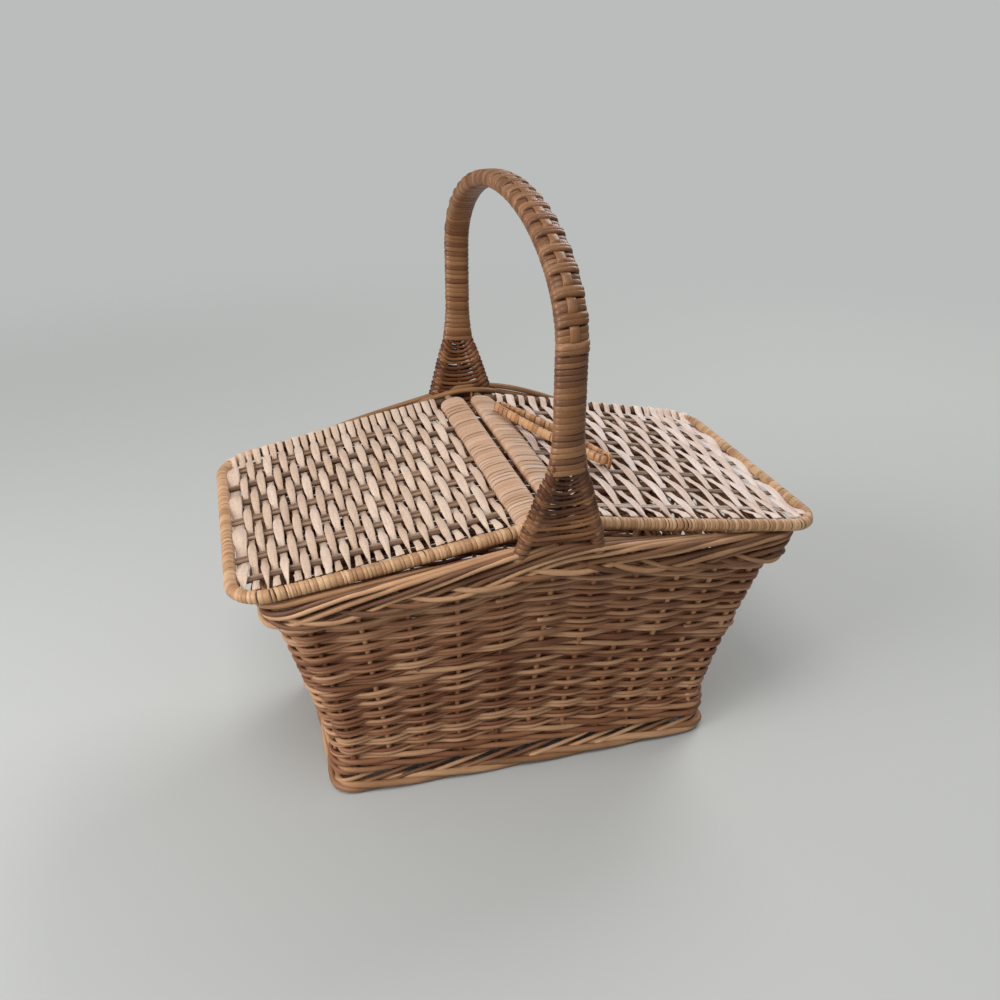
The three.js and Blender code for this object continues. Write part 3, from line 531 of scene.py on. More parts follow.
def sharp_plan(stake, share):
    """Plan point: a parabola along the side, a quarter circle at the corner and a straight end."""
    flare = np.clip((share - FLARE_FROM) / (1 - FLARE_FROM), 0, None) ** FLARE_BEND
    length, depth, corner, bow = [mix(FOOT[k], RIM[k], flare) for k in ("length", "depth", "corner", "bow")]
    straight = length - corner
    from_back = np.abs(np.mod(stake + STAKES / 2, STAKES) - STAKES / 2)
    place = np.minimum(from_back, STAKES / 2 - from_back)
    along_side = straight * np.minimum(place / SIDE_STAKES, 1)
    turn = np.clip((place - SIDE_STAKES) / CORNER_STAKES, 0, 1) * TAU / 4
    along_end = np.clip((place - SIDE_STAKES - CORNER_STAKES) / END_STAKES, 0, 1)
    side_y = depth + bow * (1 - (along_side / straight) ** 2)
    round_y = (depth - corner) * (1 - along_end) + corner * np.cos(turn)
    x = along_side + corner * np.sin(turn)
    y = np.where(place <= SIDE_STAKES, side_y, round_y)
    side = np.where(np.mod(stake, STAKES) < STAKES / 2, 1, -1)
    return x * side, y * np.where(from_back < STAKES / 4, 1, -1)


BLUR = np.linspace(-0.4, 0.4, 7)
BLUR_WEIGHT = np.exp(-(BLUR / 0.23) ** 2)
BLUR_WEIGHT /= BLUR_WEIGHT.sum()


def plan(stake, share):
    """The sharp plan averaged over 0.4 of a stake to each side, as bent rods round off its kinks."""
    stake, share = np.broadcast_arrays(stake, share)
    x, y = sharp_plan(stake[..., None] + BLUR, share[..., None])
    return x @ BLUR_WEIGHT, y @ BLUR_WEIGHT


def wall(stake, share, out, height=None):
    """Point of the wall: the plan point, moved out along its normal, at a share of the rim's height."""
    stake, share, out = np.broadcast_arrays(*[np.asarray(v, float) for v in (stake, share, out)])
    x, y = plan(stake, share)
    ahead, behind = plan(stake + 0.05, share), plan(stake - 0.05, share)
    tangent = unit(np.stack(np.subtract(ahead, behind), -1))
    z = share * rim_top(plan(stake, np.ones_like(share))[0]) if height is None else height
    return points(x - tangent[..., 1] * out, y + tangent[..., 0] * out, z)


UPWARD = np.array([0.0, 0.0, 1.0])
print("rim at the middle and at an end:", wall(0, 1, 0).round(1), wall(STAKES / 4, 1, 0).round(1))

# %% [markdown]
# ## Stakes and siding
#
# The stakes are the upright rods that everything is woven round. The siding's rods go in pairs, in front
# of one stake and behind the next, and each course does the opposite of the one below. A rod tapers from
# butt to tip, and ends behind a stake, where the next one starts.

# %% Stakes
WALL_MIDDLE, STAKE_RADIUS = -3.5, 2.1
# Upright rods take their sections from an up direction that none of them runs along
LEANING_UP = UPWARD + [0.3, 0.2, 0]


def wander(stake, share):
    """Height in mm by which the courses wander up and down together, so that they never cross."""
    return 1.0 * smooth_noise(stake * 0.7 + share * 2.0, 11) + 0.5 * smooth_noise(stake * 1.8 - share * 4, 12)


levels = np.linspace(0.085, 0.93, 30)[None]
stake_number = np.arange(STAKES)[:, None]
stake_path = wall(stake_number + 0.05 * smooth_noise(levels * 9 + stake_number * 5, 3), levels, WALL_MIDDLE)
make_piece("wall_stakes", [sweep(stake_path, STAKE_RADIUS, LEANING_UP, 5)], body_willow)

# %% Siding
PER_STAKE, OVERLAP = 8, 5
SIDING_RADIUS, SIDING_SWING = 1.68, 3.1


def siding(low, high, courses, seed):
    """Courses of paired rods. Out = middle + SIDING_SWING * cos(pi * (stake + course)), so they alternate.

    Two pairs that pass in front of the same stake leave a dark eye between them, in which the stake can be
    seen. Behind the stake a pair spreads and lies closer to it, which nearly closes the wall.
    """
    rng = np.random.default_rng(seed)
    course, pair, length = columns(np.arange(courses), [-1, 1], [0, 1])
    half = STAKES // 2
    first = 2 * rng.integers(0, half, 2 * courses).repeat(2)[:, None] + 1 - course % 2 + half * length
    stake = first + np.arange((half + 1) * PER_STAKE + OVERLAP)[None] / PER_STAKE - 0.3
    swing = np.cos(np.pi * (stake + course))
    inner = np.clip(-swing, 0, 1)
    taper = mix(1.06, 0.94, np.linspace(0, 1, stake.shape[1]))
    thick = SIDING_RADIUS * taper * rng.uniform(0.93, 1.07, course.shape)
    tall = thick * (1.04 + 0.32 * inner)
    rise = pair * (1.5 + 0.8 * inner) + 0.25 * smooth_noise(stake * 1.1 + course * 3, seed + 1)
    share = mix(low, high, (course + 0.5) / courses)
    share = share + (rise + wander(stake, share)) / MEAN_RIM
    out = WALL_MIDDLE + SIDING_SWING * swing + 0.7 * inner
    out = out + 0.15 * smooth_noise(stake * 2 + course * 7 + pair, seed + 2)
    return sweep(wall(stake, share, out), thick, UPWARD, seed, tall, sides=6)


make_piece("lower_siding_rods", [siding(0.160, 0.514, 14, 21)], body_willow, ["lower_siding"])
make_piece("upper_siding_rods", [siding(0.549, 0.9304, 15, 22)], body_willow, ["upper_siding"])

# %% [markdown]
# ## Wales and foot
#
# A wale is a rope-like band of three rods, each of which passes in front of several stakes and then behind
# one. Each is a flattened helix round the line of the stakes, so the band is three closed paths whose
# phases differ.

# %% Wales
STRANDS, WALE_STEPS = 3, 448


def wale(share, turns, out_swing, rise_swing, radius, seed, middle=WALL_MIDDLE, height=None):
    """Strands twisted round a level: out = middle + out_swing cos(phase), rise = rise_swing sin(phase)."""
    stake = np.linspace(0, STAKES, WALE_STEPS, endpoint=False)[None]
    strand = np.arange(STRANDS)[:, None]
    phase = TAU * (turns * stake / STAKES + strand / STRANDS)
    loose = 1 + 0.12 * smooth_noise(stake * 1.1 + strand * 9, seed)
    rise = rise_swing * np.sin(phase) * loose
    out = middle + out_swing * np.cos(phase) * loose
    if height is None:
        path = wall(stake, share + (rise + wander(stake, share) * 0.6) / MEAN_RIM, out)
    else:
        path = wall(stake, share, out, height + rise)
    thick = radius * (1 + 0.1 * smooth_noise(stake * 0.8 + strand * 4, seed + 1))
    return sweep(path, thick, UPWARD, seed, closed=True)


make_piece("middle_wale_rods", [wale(0.5315, 9, 3.6, 2.3, 2.0, 31)], body_willow, ["middle_wale"])
make_piece("bottom_wale_rods", [wale(0.107, 9, 3.2, 2.1, 2.4, 32), wale(0.143, 9, 3.2, 2.1, 2.3, 36)],
           body_willow, ["bottom_wale"])

# %% [markdown]
# The foot border is a wale at a height of its own. Above it the lower ends of the stakes lean over and run
# down into it.

# %% Foot border
FOOT_MIDDLE, FOOT_HEIGHT, FOOT_END_RADIUS = -2.5, 6.7, 1.9
foot_ring = wale(0.0, 6, 3.1, 2.6, 3.0, 33, middle=FOOT_MIDDLE, height=FOOT_HEIGHT)
lean = np.linspace(0, 1, 12)[None]
foot_path = wall(stake_number + 2.0 * lean ** 1.3, 0.05, mix(WALL_MIDDLE, FOOT_MIDDLE + 1, lean),
                 mix(25, 8, lean))
foot_ends = sweep(foot_path, FOOT_END_RADIUS, LEANING_UP, 34)
make_piece("foot_border_rods", [foot_ring, foot_ends], border_willow, ["foot_border"])

# %% [markdown]
# ## Rim border
#
# The border is made of the stakes' own tops. Each leaves the wall low on the outer face, dips under its
# neighbours, climbs slowly as it goes round, crosses the top and ends inside the rim. All go the same way,
# so it looks like a thick rope. A profile gives a rod's place in the border's section by how far along it
# has come.

# %% Rim border
BORDER_RUN = np.array([0, 0.04, 0.09, 0.15, 0.22, 0.34, 0.46, 0.56, 0.66, 0.76, 0.88, 1])
BORDER_OUT = np.array([-3.5, 3.5, 7.8, 7.8, 5.8, 6.8, 5.9, 3.2, -0.8, -5.4, -9.6, -9.4])
BORDER_DROP = np.array([16.0, 19.0, 24.0, 27.0, 24.5, 14.0, 4.6, 2.6, 2.3, 2.5, 5.0, 10.5])
BORDER_HEART, BORDER_STEPS = 14.0, 84


def border_rods(count, reach, seed):
    """Rods round the rim, each reach stakes long. Section place = profile(distance come / reach).

    A rod starts up to a fifth of a space before or after its even place. Past its first part, each point
    but those on top is sunk towards the section's heart by 0 to 3.6 mm, so that some rods lie over others.
    """
    rng = np.random.default_rng(seed)
    start = STAKES / count * (np.arange(count)[:, None] + rng.uniform(-0.2, 0.2, (count, 1)))
    along = np.linspace(0, 1, BORDER_STEPS)[None] + 0 * start
    stake = start - reach * along
    near = along[..., None] + np.array([-0.02, -0.01, 0, 0.01, 0.02])
    out = np.interp(near, BORDER_RUN, BORDER_OUT).mean(-1)
    drop = np.interp(near, BORDER_RUN, BORDER_DROP).mean(-1)
    sink = 1.8 * (1 + np.clip(smooth_noise(stake * 1.2 + start * 5, seed + 1), -1, 1))
    sink = sink * np.clip(along / 0.1 - 1.6, 0, 1) * (1 - np.exp(-((along - 0.65) / 0.2) ** 4))
    away = np.hypot(out, drop - BORDER_HEART)
    out, drop = out * (1 - sink / away), drop - (drop - BORDER_HEART) * sink / away
    top = rim_top(plan(stake, np.ones_like(stake))[0])
    radius = rng.uniform(1.85, 2.4, start.shape) * mix(1.06, 0.88, along)
    return sweep(wall(stake, 1 - drop / top, out, top - drop), radius, UPWARD + [0.01, 0.02, 0], seed)


under = wale(0.882, 10, 2.8, 1.6, 1.8, 45, middle=-2.6)
make_piece("rim_border_rods", [border_rods(46, 8.6, 41), under], border_willow, ["rim_border"])

# %% [markdown]
# Behind the bars two old rods arch over the ends of the hinge sticks, from far down one side of the peak
# to the other, and hold them down.

# %% Arch rods
ARCH_X = np.array([-172, -140, -100, -60, -30, 0, 30, 60, 90, 120, 150])
ARCH_LIFT = np.array([-3, 2.5, 5.5, 8, 10, 13.5, 14.5, 12, 7, 1, -6])
ARCH_Y, ARCH_BOW, ARCH_REACH, ARCH_RADIUS = 150.0, 24.0, 184, 2.5
arch_x = np.linspace(ARCH_X[0], ARCH_X[-1], 110)
near_x = arch_x[:, None] + np.linspace(-16, 16, 9)
arch_z = rim_top(arch_x) + np.interp(near_x, ARCH_X, ARCH_LIFT).mean(-1)
arch_y = ARCH_Y - ARCH_BOW * (arch_x / ARCH_REACH) ** 2
arch_wave = 0.8 * np.sin(arch_x / 27)
over_sticks = np.exp(-(arch_x / 34) ** 4)
arch_rods = np.stack([
    points(arch_x, arch_y - 3 * np.exp(-(arch_x / 42) ** 2), arch_z + arch_wave),
    points(arch_x, arch_y - 0.6 - 9.4 * over_sticks, arch_z - 4.4 + 3.4 * over_sticks - arch_wave),
])
make_piece("arch_rods", [sweep(arch_rods, ARCH_RADIUS, UPWARD, 47, sides=10)], dark_willow)

# %% [markdown]
# ## Base and corner sticks
#
# The base is woven flat, round seven thick sticks. It shows when a lid is open. The weavers are cosines
# again, along straight lines.

# %% Base
BASE_MIDDLE, BASE_HALF_LENGTH, BASE_REACH = 15.6, 150, 74.0
BASE_STICKS, BASE_ROWS, STICK_RADIUS = 7, 44, 4.2
stick_x = np.linspace(-131, 131, BASE_STICKS)[:, None]
run_y = np.linspace(-BASE_REACH - 3, BASE_REACH + 3, 12)[None]
sticks = sweep(points(stick_x, run_y, BASE_MIDDLE), STICK_RADIUS, UPWARD, 51, sides=10)
row_y = np.linspace(-BASE_REACH, BASE_REACH, BASE_ROWS)[:, None]
run_x = np.linspace(-BASE_HALF_LENGTH, BASE_HALF_LENGTH, 105)[None]
swing = np.cos(np.pi * run_x / (stick_x[1, 0] - stick_x[0, 0]) + np.pi * np.arange(BASE_ROWS)[:, None])
short = np.clip(1.9 - np.abs(row_y) / 52, 0.86, 1)
rows = sweep(points(run_x * short, row_y, BASE_MIDDLE + 2.6 * swing), 1.75, UPWARD, 52, 1.5, sides=6)
make_piece("woven_base", [sticks, rows], body_willow, ["base_panel"])

# %% Corner sticks
CORNER_STICK_OUT, CORNER_STICK_RADIUS = -15.0, 4.3
for name, stake in {"back_right": 5.5, "front_right": 12.5, "front_left": 23.5, "back_left": 30.5}.items():
    path = wall(stake, np.linspace(0.092, 0.87, 24)[None], CORNER_STICK_OUT)
    stick = sweep(path, CORNER_STICK_RADIUS, LEANING_UP, 55, sides=12)
    make_piece(f"corner_stick_{name}", [stick], body_willow, [f"corner_stake_{name}"])

# %% [markdown]
# ## Handle
#
# The bow is two thick rods bound side by side as one flat strap. A narrow leader strip is woven in along
# its back: two turns of cane pass over it and two under, which gives the row of small blocks. At each neck
# the rods part and become legs that go down into the rim.

# %% Bow
HALF_SPAN, SPRING, RISE, NECK = 156.0, 388.0, 78.0, 304.0
BOW_HALF_WIDTH, BOW_HALF_DEPTH, NECK_GROWTH, NECK_LENGTH = 10.4, 5.4, 3.2, 30
sweep_angle = np.linspace(0, np.pi, 241)
bow = np.concatenate([
    points(0.0, -HALF_SPAN, np.linspace(NECK - 1, SPRING, 40, endpoint=False)),
    points(0.0, -HALF_SPAN * np.cos(sweep_angle), SPRING + RISE * np.sin(sweep_angle)),
    points(0.0, HALF_SPAN, np.linspace(SPRING, NECK - 1, 41)[1:]),
])
bow_run = run_of(bow)
bow_up = unit(np.cross(np.gradient(bow, axis=0), [-1.0, 0, 0]))
neck_share = np.clip((NECK + NECK_LENGTH - bow[:, 2]) / NECK_LENGTH, 0, 1)
BOW_PITCH = 4.1
BOW_TURNS = round(bow_run[-1] / BOW_PITCH)
TURN_RUN = bow_run[-1] / BOW_TURNS
LEADER_FROM = 20
LEADER_TO = 4 * ((BOW_TURNS - LEADER_FROM) // 4)


def leader_lift(turn, angle):
    """Height and shadow of the turns over the leader, by their place in a group of four.

    Places 0 to 2 pass over it and swell by 1 - (place - 1)^4. Places 2 to 4 pass under it. About place 0
    the cane gapes. Below the woven part all turns pass over it, which gives a low ridge.
    """
    woven = ((turn >= LEADER_FROM) & (turn < LEADER_TO))[:, None]
    place = np.mod(turn, 4)
    swell = np.where(place < 2, 1 - (place - 1) ** 4, 0)[:, None]
    to_edge = np.minimum(place, 4 - place)[:, None]
    from_back = np.abs(angle - TAU / 4)
    back = np.exp(-(from_back / 1.2) ** 5)
    ridge = np.exp(-(from_back / 0.42) ** 2)
    crescent = np.clip(1.35 - to_edge / 0.16, 0, 1) * np.exp(-from_back ** 4)
    height = np.where(woven, 1.5 * swell * back - 1.1 * crescent, 0.9 * ridge)
    return height, np.where(woven, crescent, 0)


binding = bind(bow, BOW_HALF_WIDTH + NECK_GROWTH * neck_share ** 1.5, BOW_HALF_DEPTH, bow_up, BOW_PITCH, 0.5,
               61, sides=36, squareness=2.7, slant=1.1, jitter=0.02, gape=0.4, extra=leader_lift)
make_piece("handle_bow_binding", [binding], handle_cane, ["handle_bow"])

# %% Leader strip
LEADER_HALF_WIDTH, LEADER_HEIGHT = 3.4, 5.75
leader_turn = np.arange(LEADER_FROM, LEADER_TO, 0.2)
leader_spots = leader_turn * TURN_RUN
leader_height = LEADER_HEIGHT + np.tanh(3.0 * np.cos(TAU * (leader_turn - 3) / 4))
leader_up = along_path(bow_up, bow_run, leader_spots)
leader_path = along_path(bow, bow_run, leader_spots) + leader_up * leader_height[:, None]
leader = sweep(leader_path[None], LEADER_HALF_WIDTH, leader_up[None], 62, 0.6, squareness=4)
make_piece("handle_leader_strip", [leader], handle_cane, ["handle_leader"])

# %% Legs
LEG_TOP_X, LEG_FOOT_X, LEG_LEAN, LEG_PITCH = 8.5, 27.5, 9.5, 4.3
RIM_AT_LEGS = rim_top(LEG_FOOT_X)
CORNERS = (("front_left", -1, -1), ("front_right", 1, -1), ("back_left", -1, 1), ("back_right", 1, 1))


def leg_point(side, end, z):
    """Point of a leg: from beside the neck's middle it splays along X and leans in along Y."""
    drop = (NECK - z) / (NECK - RIM_AT_LEGS)
    return points(side * mix(LEG_TOP_X, LEG_FOOT_X, drop), end * (HALF_SPAN - LEG_LEAN * drop), z)


for name, side, end in CORNERS:
    path = leg_point(side, end, np.linspace(NECK + 2, RIM_AT_LEGS - 9, 40))
    thick = np.interp(path[:, 2], [NECK - 14, NECK], [4.8, 3.6])
    leg = bind(path, thick, thick, [0.0, end, 0.0], LEG_PITCH, 0.5, 63 + side + 2 * end, sides=16,
               squareness=2, slant=0.9, gape=0.45)
    make_piece(f"handle_leg_{name}_binding", [leg], handle_cane, [f"handle_leg_{name}"])

# %% [markdown]
# Between the legs a web is woven with flat cane on a short stake. Each row goes round both legs, so they
# look like one triangle of hanging rows.

# %% Webs between the legs
WEB_ROWS, POST_RADIUS = 15, 2.0


def web(end, seed):
    """Rows as closed bands round both legs and the stake between them, whose middle hangs by a parabola.

    In plan a band bulges round each leg and is pinched at the middle, where it passes close by the stake.
    """
    turn = np.linspace(0, TAU, 72, endpoint=False)[None]
    z_edge = np.linspace(rim_top(0) + 7, NECK + 5, WEB_ROWS)[:, None]
    share = (z_edge - z_edge[0]) / (z_edge[-1] - z_edge[0])
    rng = np.random.default_rng(seed)
    z_edge = z_edge + rng.uniform(-0.5, 0.5, z_edge.shape)
    across = np.sign(np.cos(turn)) * np.abs(np.cos(turn)) ** 0.8
    z = z_edge - mix(5.0, 9.5, share) * (1 - across ** 2) + 0.7 * smooth_noise(across * 3 + z_edge, seed)
    legs = leg_point(1, 1, z)
    girth = np.interp(z, [NECK - 14, NECK], [5.7, 4.6])
    alternate = np.where(np.arange(WEB_ROWS) % 2, 1, -1)[:, None]
    pinch = mix(2.6, girth, np.clip(np.abs(across) * 1.6 - 0.2, 0, 1))
    out = np.sign(np.sin(turn)) * pinch * np.abs(np.sin(turn)) ** 0.45
    out = out + 0.9 * alternate * np.exp(-(across / 0.3) ** 2)
    path = points((legs[..., 0] + girth) * across, end * (legs[..., 1] + out), z)
    to_leg = np.clip(np.abs(across) * 2.4 - 1.2, 0, 1)
    tall = mix(mix(1.7, 1.15, share), 1.95, to_leg) * rng.uniform(0.85, 1.12, z_edge.shape)
    rows = sweep(path, 0.55, UPWARD, seed, tall, squareness=3, closed=True)
    post = leg_point(0, end, np.linspace(rim_top(0) - 4, NECK, 12))
    return [rows, sweep(post[None], POST_RADIUS, [1.0, 0, 0], seed + 1)]


# Both webs take the darker web cane, whose darkness is partly painted shade
for name, end in (("front", -1), ("back", 1)):
    make_piece(f"handle_web_{name}_rows", web(end, 71 + end), web_cane_with_painted_shade, [f"handle_web_{name}"])

# %% [markdown]
# ## Hinge ties
#
# Each lid turns on a stick whose ends are lashed to the rim with a few turns of cane. A turn is a closed
# oval, round over the stick and drawn down into the border below it.

# %% Hinge ties
TIE_Y, TIE_RADIUS, TIE_DEPTH = 143.0, 4.8, 8.0
tie_angle = np.linspace(0, TAU, 40, endpoint=False)[None]
tie_z = HINGE_HEIGHT + np.where(np.sin(tie_angle) > 0, TIE_RADIUS, TIE_DEPTH) * np.sin(tie_angle)
for name, side, end in CORNERS:
    tie_y = end * TIE_Y + np.array([-1.9, 0.0, 1.9])[:, None] + 0.3 * np.cos(tie_angle)
    tie_path = points(side * HINGE_OUT + TIE_RADIUS * np.cos(tie_angle), tie_y, tie_z)
    tie = sweep(tie_path, 1.0, [0.0, 1, 0], 75, 0.7, squareness=3, closed=True)
    make_piece(f"hinge_tie_{name}_lashing", [tie], rod_cane, [f"hinge_tie_{name}"])

# %% [markdown]
# ## Lids
#
# A lid is a willow rod bent round three sides, with pairs of thin sticks from the hinge bar to the far end
# and split strips woven across them. It is worked out flat, with X outwards from the hinge line, and then
# set on its slope. A strip is wide where it rides over a pair of sticks and narrow where it dives under
# one, which gives the leaf-shaped floats.

# %% Lid frame
LID_SIDES = {"left": -1, "right": 1}
LID_REACH = (LID_END_OUT - HINGE_OUT) / np.cos(LID_TILT)
ROD_HALF_DEPTH, ROD_BOW, ROD_CORNER = 124.0, 8.0, 30.0
STRAIGHT = LID_REACH - ROD_CORNER


def lid_place(side):
    """Sends lid coordinates (out, across, up) to the basket: tilted about the hinge line, left or right."""
    def place(out, across, up):
        x = HINGE_OUT + out * np.cos(LID_TILT) + up * np.sin(LID_TILT)
        z = HINGE_HEIGHT - out * np.sin(LID_TILT) + up * np.cos(LID_TILT)
        return points(side * x, side * across, z)
    return place


def lid_piece(lid, kind, part, material, slot, *replaced):
    """Makes a piece of the left or right lid from a part in lid coordinates."""
    make_piece(f"lid_{lid}_{kind}", [moved(part, lid_place(LID_SIDES[lid]))], material,
               [f"lid_{lid}_{node}" for node in replaced], f"lid_{lid}")


def rod_half_depth(out):
    """Half depth of the rod's middle line: a parabola, then a quarter circle."""
    into = np.clip((out - STRAIGHT) / ROD_CORNER, 0, 1)
    side = ROD_HALF_DEPTH + ROD_BOW * (1 - (np.minimum(out, STRAIGHT) / STRAIGHT) ** 2)
    return side - ROD_CORNER * (1 - np.sqrt(1 - into ** 2))


print("a lid reaches", round(float(LID_REACH), 1), "mm from its hinge line")

# %% Lid rods
BOUND_RADIUS, BARE_RADIUS = 4.5, 3.9
side_out = np.linspace(5.2, STRAIGHT, 60, endpoint=False)
corner_turn = np.linspace(0, TAU / 4, 20)
half_rod = np.concatenate([
    points(side_out, -rod_half_depth(side_out), 0.0),
    points(STRAIGHT + ROD_CORNER * np.sin(corner_turn),
           -(ROD_HALF_DEPTH - ROD_CORNER) - ROD_CORNER * np.cos(corner_turn), 0.0),
])
rod_line = np.concatenate([half_rod, half_rod[::-1] * [1, -1, 1]])
# The cane stops behind the far corner, and the bare rod starts a little inside its last turns
CANE_END, TUCKED = len(half_rod) + 20, 4

for lid, pitch, gape, slit, seed in (("left", 3.2, 0.12, 2.1, 81), ("right", 3.0, 0.2, 1.0, 82)):
    from_near = rod_line[::LID_SIDES[lid]]
    rod = bind(from_near[:CANE_END], BOUND_RADIUS, BOUND_RADIUS, UPWARD, pitch, 0.4, seed, sides=14,
               squareness=2, slant=1.2, jitter=0.4, gape=gape, faint=0.22, depth=0.6, soft=0.9, slit=slit)
    lid_piece(lid, "rod_binding", rod, rod_cane, "handle_cane", "rod")
    # The bare rod's dark brown is painted shade
    bare = sweep(from_near[None, CANE_END - TUCKED:], BARE_RADIUS, UPWARD, seed, sides=12)
    lid_piece(lid, "bare_rod", bare, shaded_bare_willow, "handle_cane")

# %% Lid sticks
STICK_PAIRS = 7
# Across the lid, the pairs and the strips keep this far inside the rod's middle line
ROD_INSET = 5.3
PAIR_SHARE = -1 + 2 / (STICK_PAIRS + 0.5) * (np.arange(STICK_PAIRS) + 0.75)


def lid_sticks(seed, radius, gap):
    """Pairs of sticks from the bar to the rod, gap to each side of a line that spreads with the lid."""
    out = np.linspace(9.0, LID_REACH - 2.5, 60)[None]
    share, apart = columns(PAIR_SHARE, [-gap, gap])
    sway = 0.8 * smooth_noise(out * 0.05 + share * 40, seed)
    across = (rod_half_depth(np.minimum(out, STRAIGHT)) - ROD_INSET) * share + apart + sway
    up = 0.35 * smooth_noise(out * 0.12 + share * 31 + apart, seed + 1)
    return sweep(points(out, across, up), radius, UPWARD, seed, sides=7)


# %% Lid strips
FAR_WRAP = np.array([[-6.0, 2.0], [-3.4, 3.6], [-0.6, 4.9], [2.4, 4.5], [4.5, 2.4], [5.0, -0.6], [4.0, -3.2]])
FIRST_STRIP, END_ROOM = 13.0, 4.6


def lid_strips(side, steps, half_width, lift, seed):
    """Strips across the lid: up = lift * cos(pi * pair number), from the near rod to the far one.

    Strip j takes a part of the lid's length in proportion to steps[j] and is half_width[j] to each side of
    its middle. At the far rod a strip wraps over the bare wood. At the near one it ends behind the binding:
    a strip that lay over the last pair comes to a twisted point, and the next one ends in a short bulge.
    """
    rng = np.random.default_rng(seed)
    steps, half_width = np.array(steps)[:, None], np.array(half_width)[:, None]
    strip = np.arange(len(steps))[:, None]
    reach = LID_REACH - END_ROOM - FIRST_STRIP
    out0 = FIRST_STRIP + reach * (np.cumsum(steps, 0) - steps / 2) / steps.sum()
    edge = rod_half_depth(out0)
    number = np.linspace(-0.75, STICK_PAIRS - 0.35, 90)[None] + 0 * out0
    depth = (number + 0.75) * 2 / (STICK_PAIRS + 0.5) - 1
    over = np.cos(np.pi * (number + strip))
    up = lift * np.sign(over) * np.abs(over) ** 0.8
    wide = half_width * (0.78 + 0.22 * np.maximum(over, 0) ** 0.5) * rng.uniform(0.9, 1.1, out0.shape)

    pointed = (strip % 2 == 0) & (rng.random(out0.shape) < 0.85)
    to_rod = np.clip((0.2 - number) / 0.95, 0, 1)
    wide = wide * np.where(pointed, 1 - 0.72 * to_rod ** 0.8, 1 - 0.1 * to_rod)
    up = np.where(pointed, mix(up, 1.6, to_rod ** 2), mix(up, 3.3, np.clip(to_rod * 1.3, 0, 1) ** 2))
    twist = np.where(pointed, rng.choice([-1, 1], out0.shape) * 0.8 * to_rod ** 1.5, 0)
    out = out0 + 0.5 * smooth_noise(number * 1.4 + out0 * 0.7, seed + 1)
    roll = twist + 0.16 * smooth_noise(number * 2 + out0, seed + 2)

    y = np.hstack([depth * (edge - ROD_INSET), edge + FAR_WRAP[:, 0]])
    up = np.hstack([up, FAR_WRAP[:, 1] + 0 * edge])
    out, wide, roll = [np.pad(v, ((0, 0), (0, len(FAR_WRAP))), "edge") for v in (out, wide, roll)]
    return sweep(points(out, side * y, up), wide, [0, -0.001, 1.0], seed, 0.55, squareness=3.2, roll=roll)


LEFT_STRIPS = [1.0] * 26 + [1.35], [3.35] * 26 + [5.4], 2.15, 91
RIGHT_STRIPS = [1.0] * 14 + [0.66] * 5 + [0.8], [4.0] * 14 + [4.4] * 5 + [5.2], 1.5, 95
# The right lid gets the paler copies of strips and sticks, whose brightness is painted sheen
for lid, strips, strip_finish, sticks, stick_finish in (
        ("left", LEFT_STRIPS, lid_willow, (94, 1.6, 2.0), stick_willow),
        ("right", RIGHT_STRIPS, sheen_lid_willow, (98, 1.1, 1.4), sheen_stick_willow)):
    lid_piece(lid, "strips", lid_strips(LID_SIDES[lid], *strips), strip_finish, "lid_willow", "panel")
    lid_piece(lid, "sticks", lid_sticks(*sticks), stick_finish, "lid_willow")

# %% [markdown]
# The turns of both bars get wider towards the back, the left bar's more than the right one's.

# %% Bars and hinge sticks
BAR_END, BAR_ROUND, BAR_HALF_WIDTH, BAR_HALF_HEIGHT = 130.0, 12, 11.6, 4.6
HINGE_STICK_END, HINGE_STICK_RADIUS = 145, 3.4
bar_line = points(0.0, np.linspace(-BAR_END, BAR_END, 131), 0.0)
stick_line = points(0.0, np.linspace(-HINGE_STICK_END, HINGE_STICK_END, 30), 0.0)
bar_end = np.clip((np.abs(bar_line[:, 1]) - BAR_END + BAR_ROUND) / BAR_ROUND, 0, 1)
bar_width = BAR_HALF_WIDTH * np.sqrt(1 - 0.6 * bar_end ** 2)
bar_height = BAR_HALF_HEIGHT * np.sqrt(1 - 0.5 * bar_end ** 2)
for lid, pitch, grow, seed in (("left", 5.6, 0.45, 101), ("right", 6.4, 1.5, 102)):
    bar = bind(bar_line, bar_width, bar_height, UPWARD, pitch, 0.2, seed, sides=32, squareness=2.6, slant=1.6,
               jitter=0.35, gape=0.5, faint=0.18, depth=0.9, slit=TAU * 0.17, grow=grow, soft=0.8)
    lid_piece(lid, "bar_binding", bar, bar_cane, "bar_cane", "bar")
    stick = sweep(stick_line[None], HINGE_STICK_RADIUS, UPWARD, seed, sides=14)
    lid_piece(lid, "hinge_stick_round", stick, stick_willow, "body_willow", "hinge_stick")

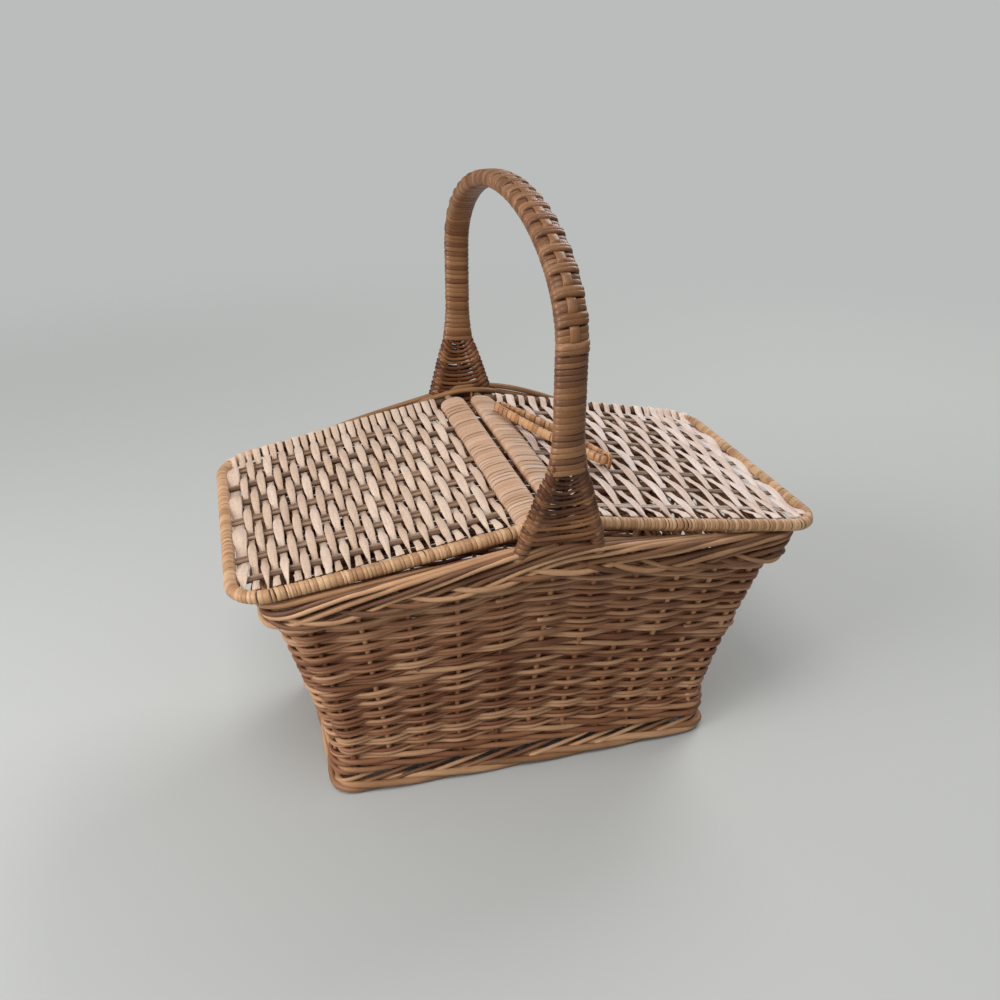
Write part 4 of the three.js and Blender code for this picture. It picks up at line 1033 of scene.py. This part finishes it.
# %% [markdown]
# ## Closing loop
#
# The loop is one length of bound cane bent into a long eye. Its round end is tied to the right lid and its
# free end lies on the bar. Its band stands on edge, as a bent strip does.

# %% Closing loop
LOOP_ANGLE, LOOP_LENGTH, LOOP_EYE, LOOP_HALF = np.radians(117), 124.0, 4.2, 9.0
LOOP_OUT, LOOP_ACROSS, LOOP_HEIGHT = 62, -28, 9.3
loop_share = np.linspace(0, 1, 60)
loop_bulge = mix(LOOP_EYE, LOOP_HALF, np.sin(np.pi * loop_share))
loop_side = np.stack([LOOP_LENGTH * loop_share, loop_bulge], -1)
end_turn = np.linspace(-TAU / 4, TAU / 4, 14)[1:-1]
round_end = LOOP_EYE * np.stack([np.cos(end_turn), np.sin(end_turn)], -1)
loop_line = np.concatenate([loop_side * [1, -1], [LOOP_LENGTH, 0] + round_end, loop_side[::-1], -round_end])
loop_line = points(*loop_line.T, 0.0)


def loop_place(x, y, z):
    """Sends the loop's own coordinates to the basket: turned about its tie, on the right lid."""
    out = LOOP_OUT + x * np.cos(LOOP_ANGLE) - y * np.sin(LOOP_ANGLE)
    across = LOOP_ACROSS + x * np.sin(LOOP_ANGLE) + y * np.cos(LOOP_ANGLE)
    return lid_place(1)(out, across, z)


loop = bind(np.vstack([loop_line, loop_line[:1]]), 1.55, 3.5, UPWARD, 5.8, 0.45, 111, sides=14,
            squareness=3, jitter=0.12, gape=0.95, closed=True)
loop["points"][:, 2] += LOOP_HEIGHT
make_piece("closing_loop_binding", [moved(loop, loop_place)], loop_cane, ["closing_loop"], "closing_loop")

# %% Loop tie
tie_turn = np.linspace(0, np.pi, 24)
tie_arch = np.concatenate([
    [[0.0, 0.0, 2.6]],
    points(-4 + 4 * np.cos(tie_turn), 0.0, 10.5 + 4.4 * np.sin(tie_turn)),
    [[-8.0, 0.0, 2.6]],
])
tie_twins = np.stack([tie_arch + [0, y, 0] for y in (-0.75, 0.75)])
loop_tie = sweep(tie_twins, 0.8, [0.0, 1.0, 0.0], 121, 1.2, squareness=3)
make_piece("loop_tie_cane", [moved(loop_tie, loop_place)], loop_cane, ["loop_tie"], "lid_right")
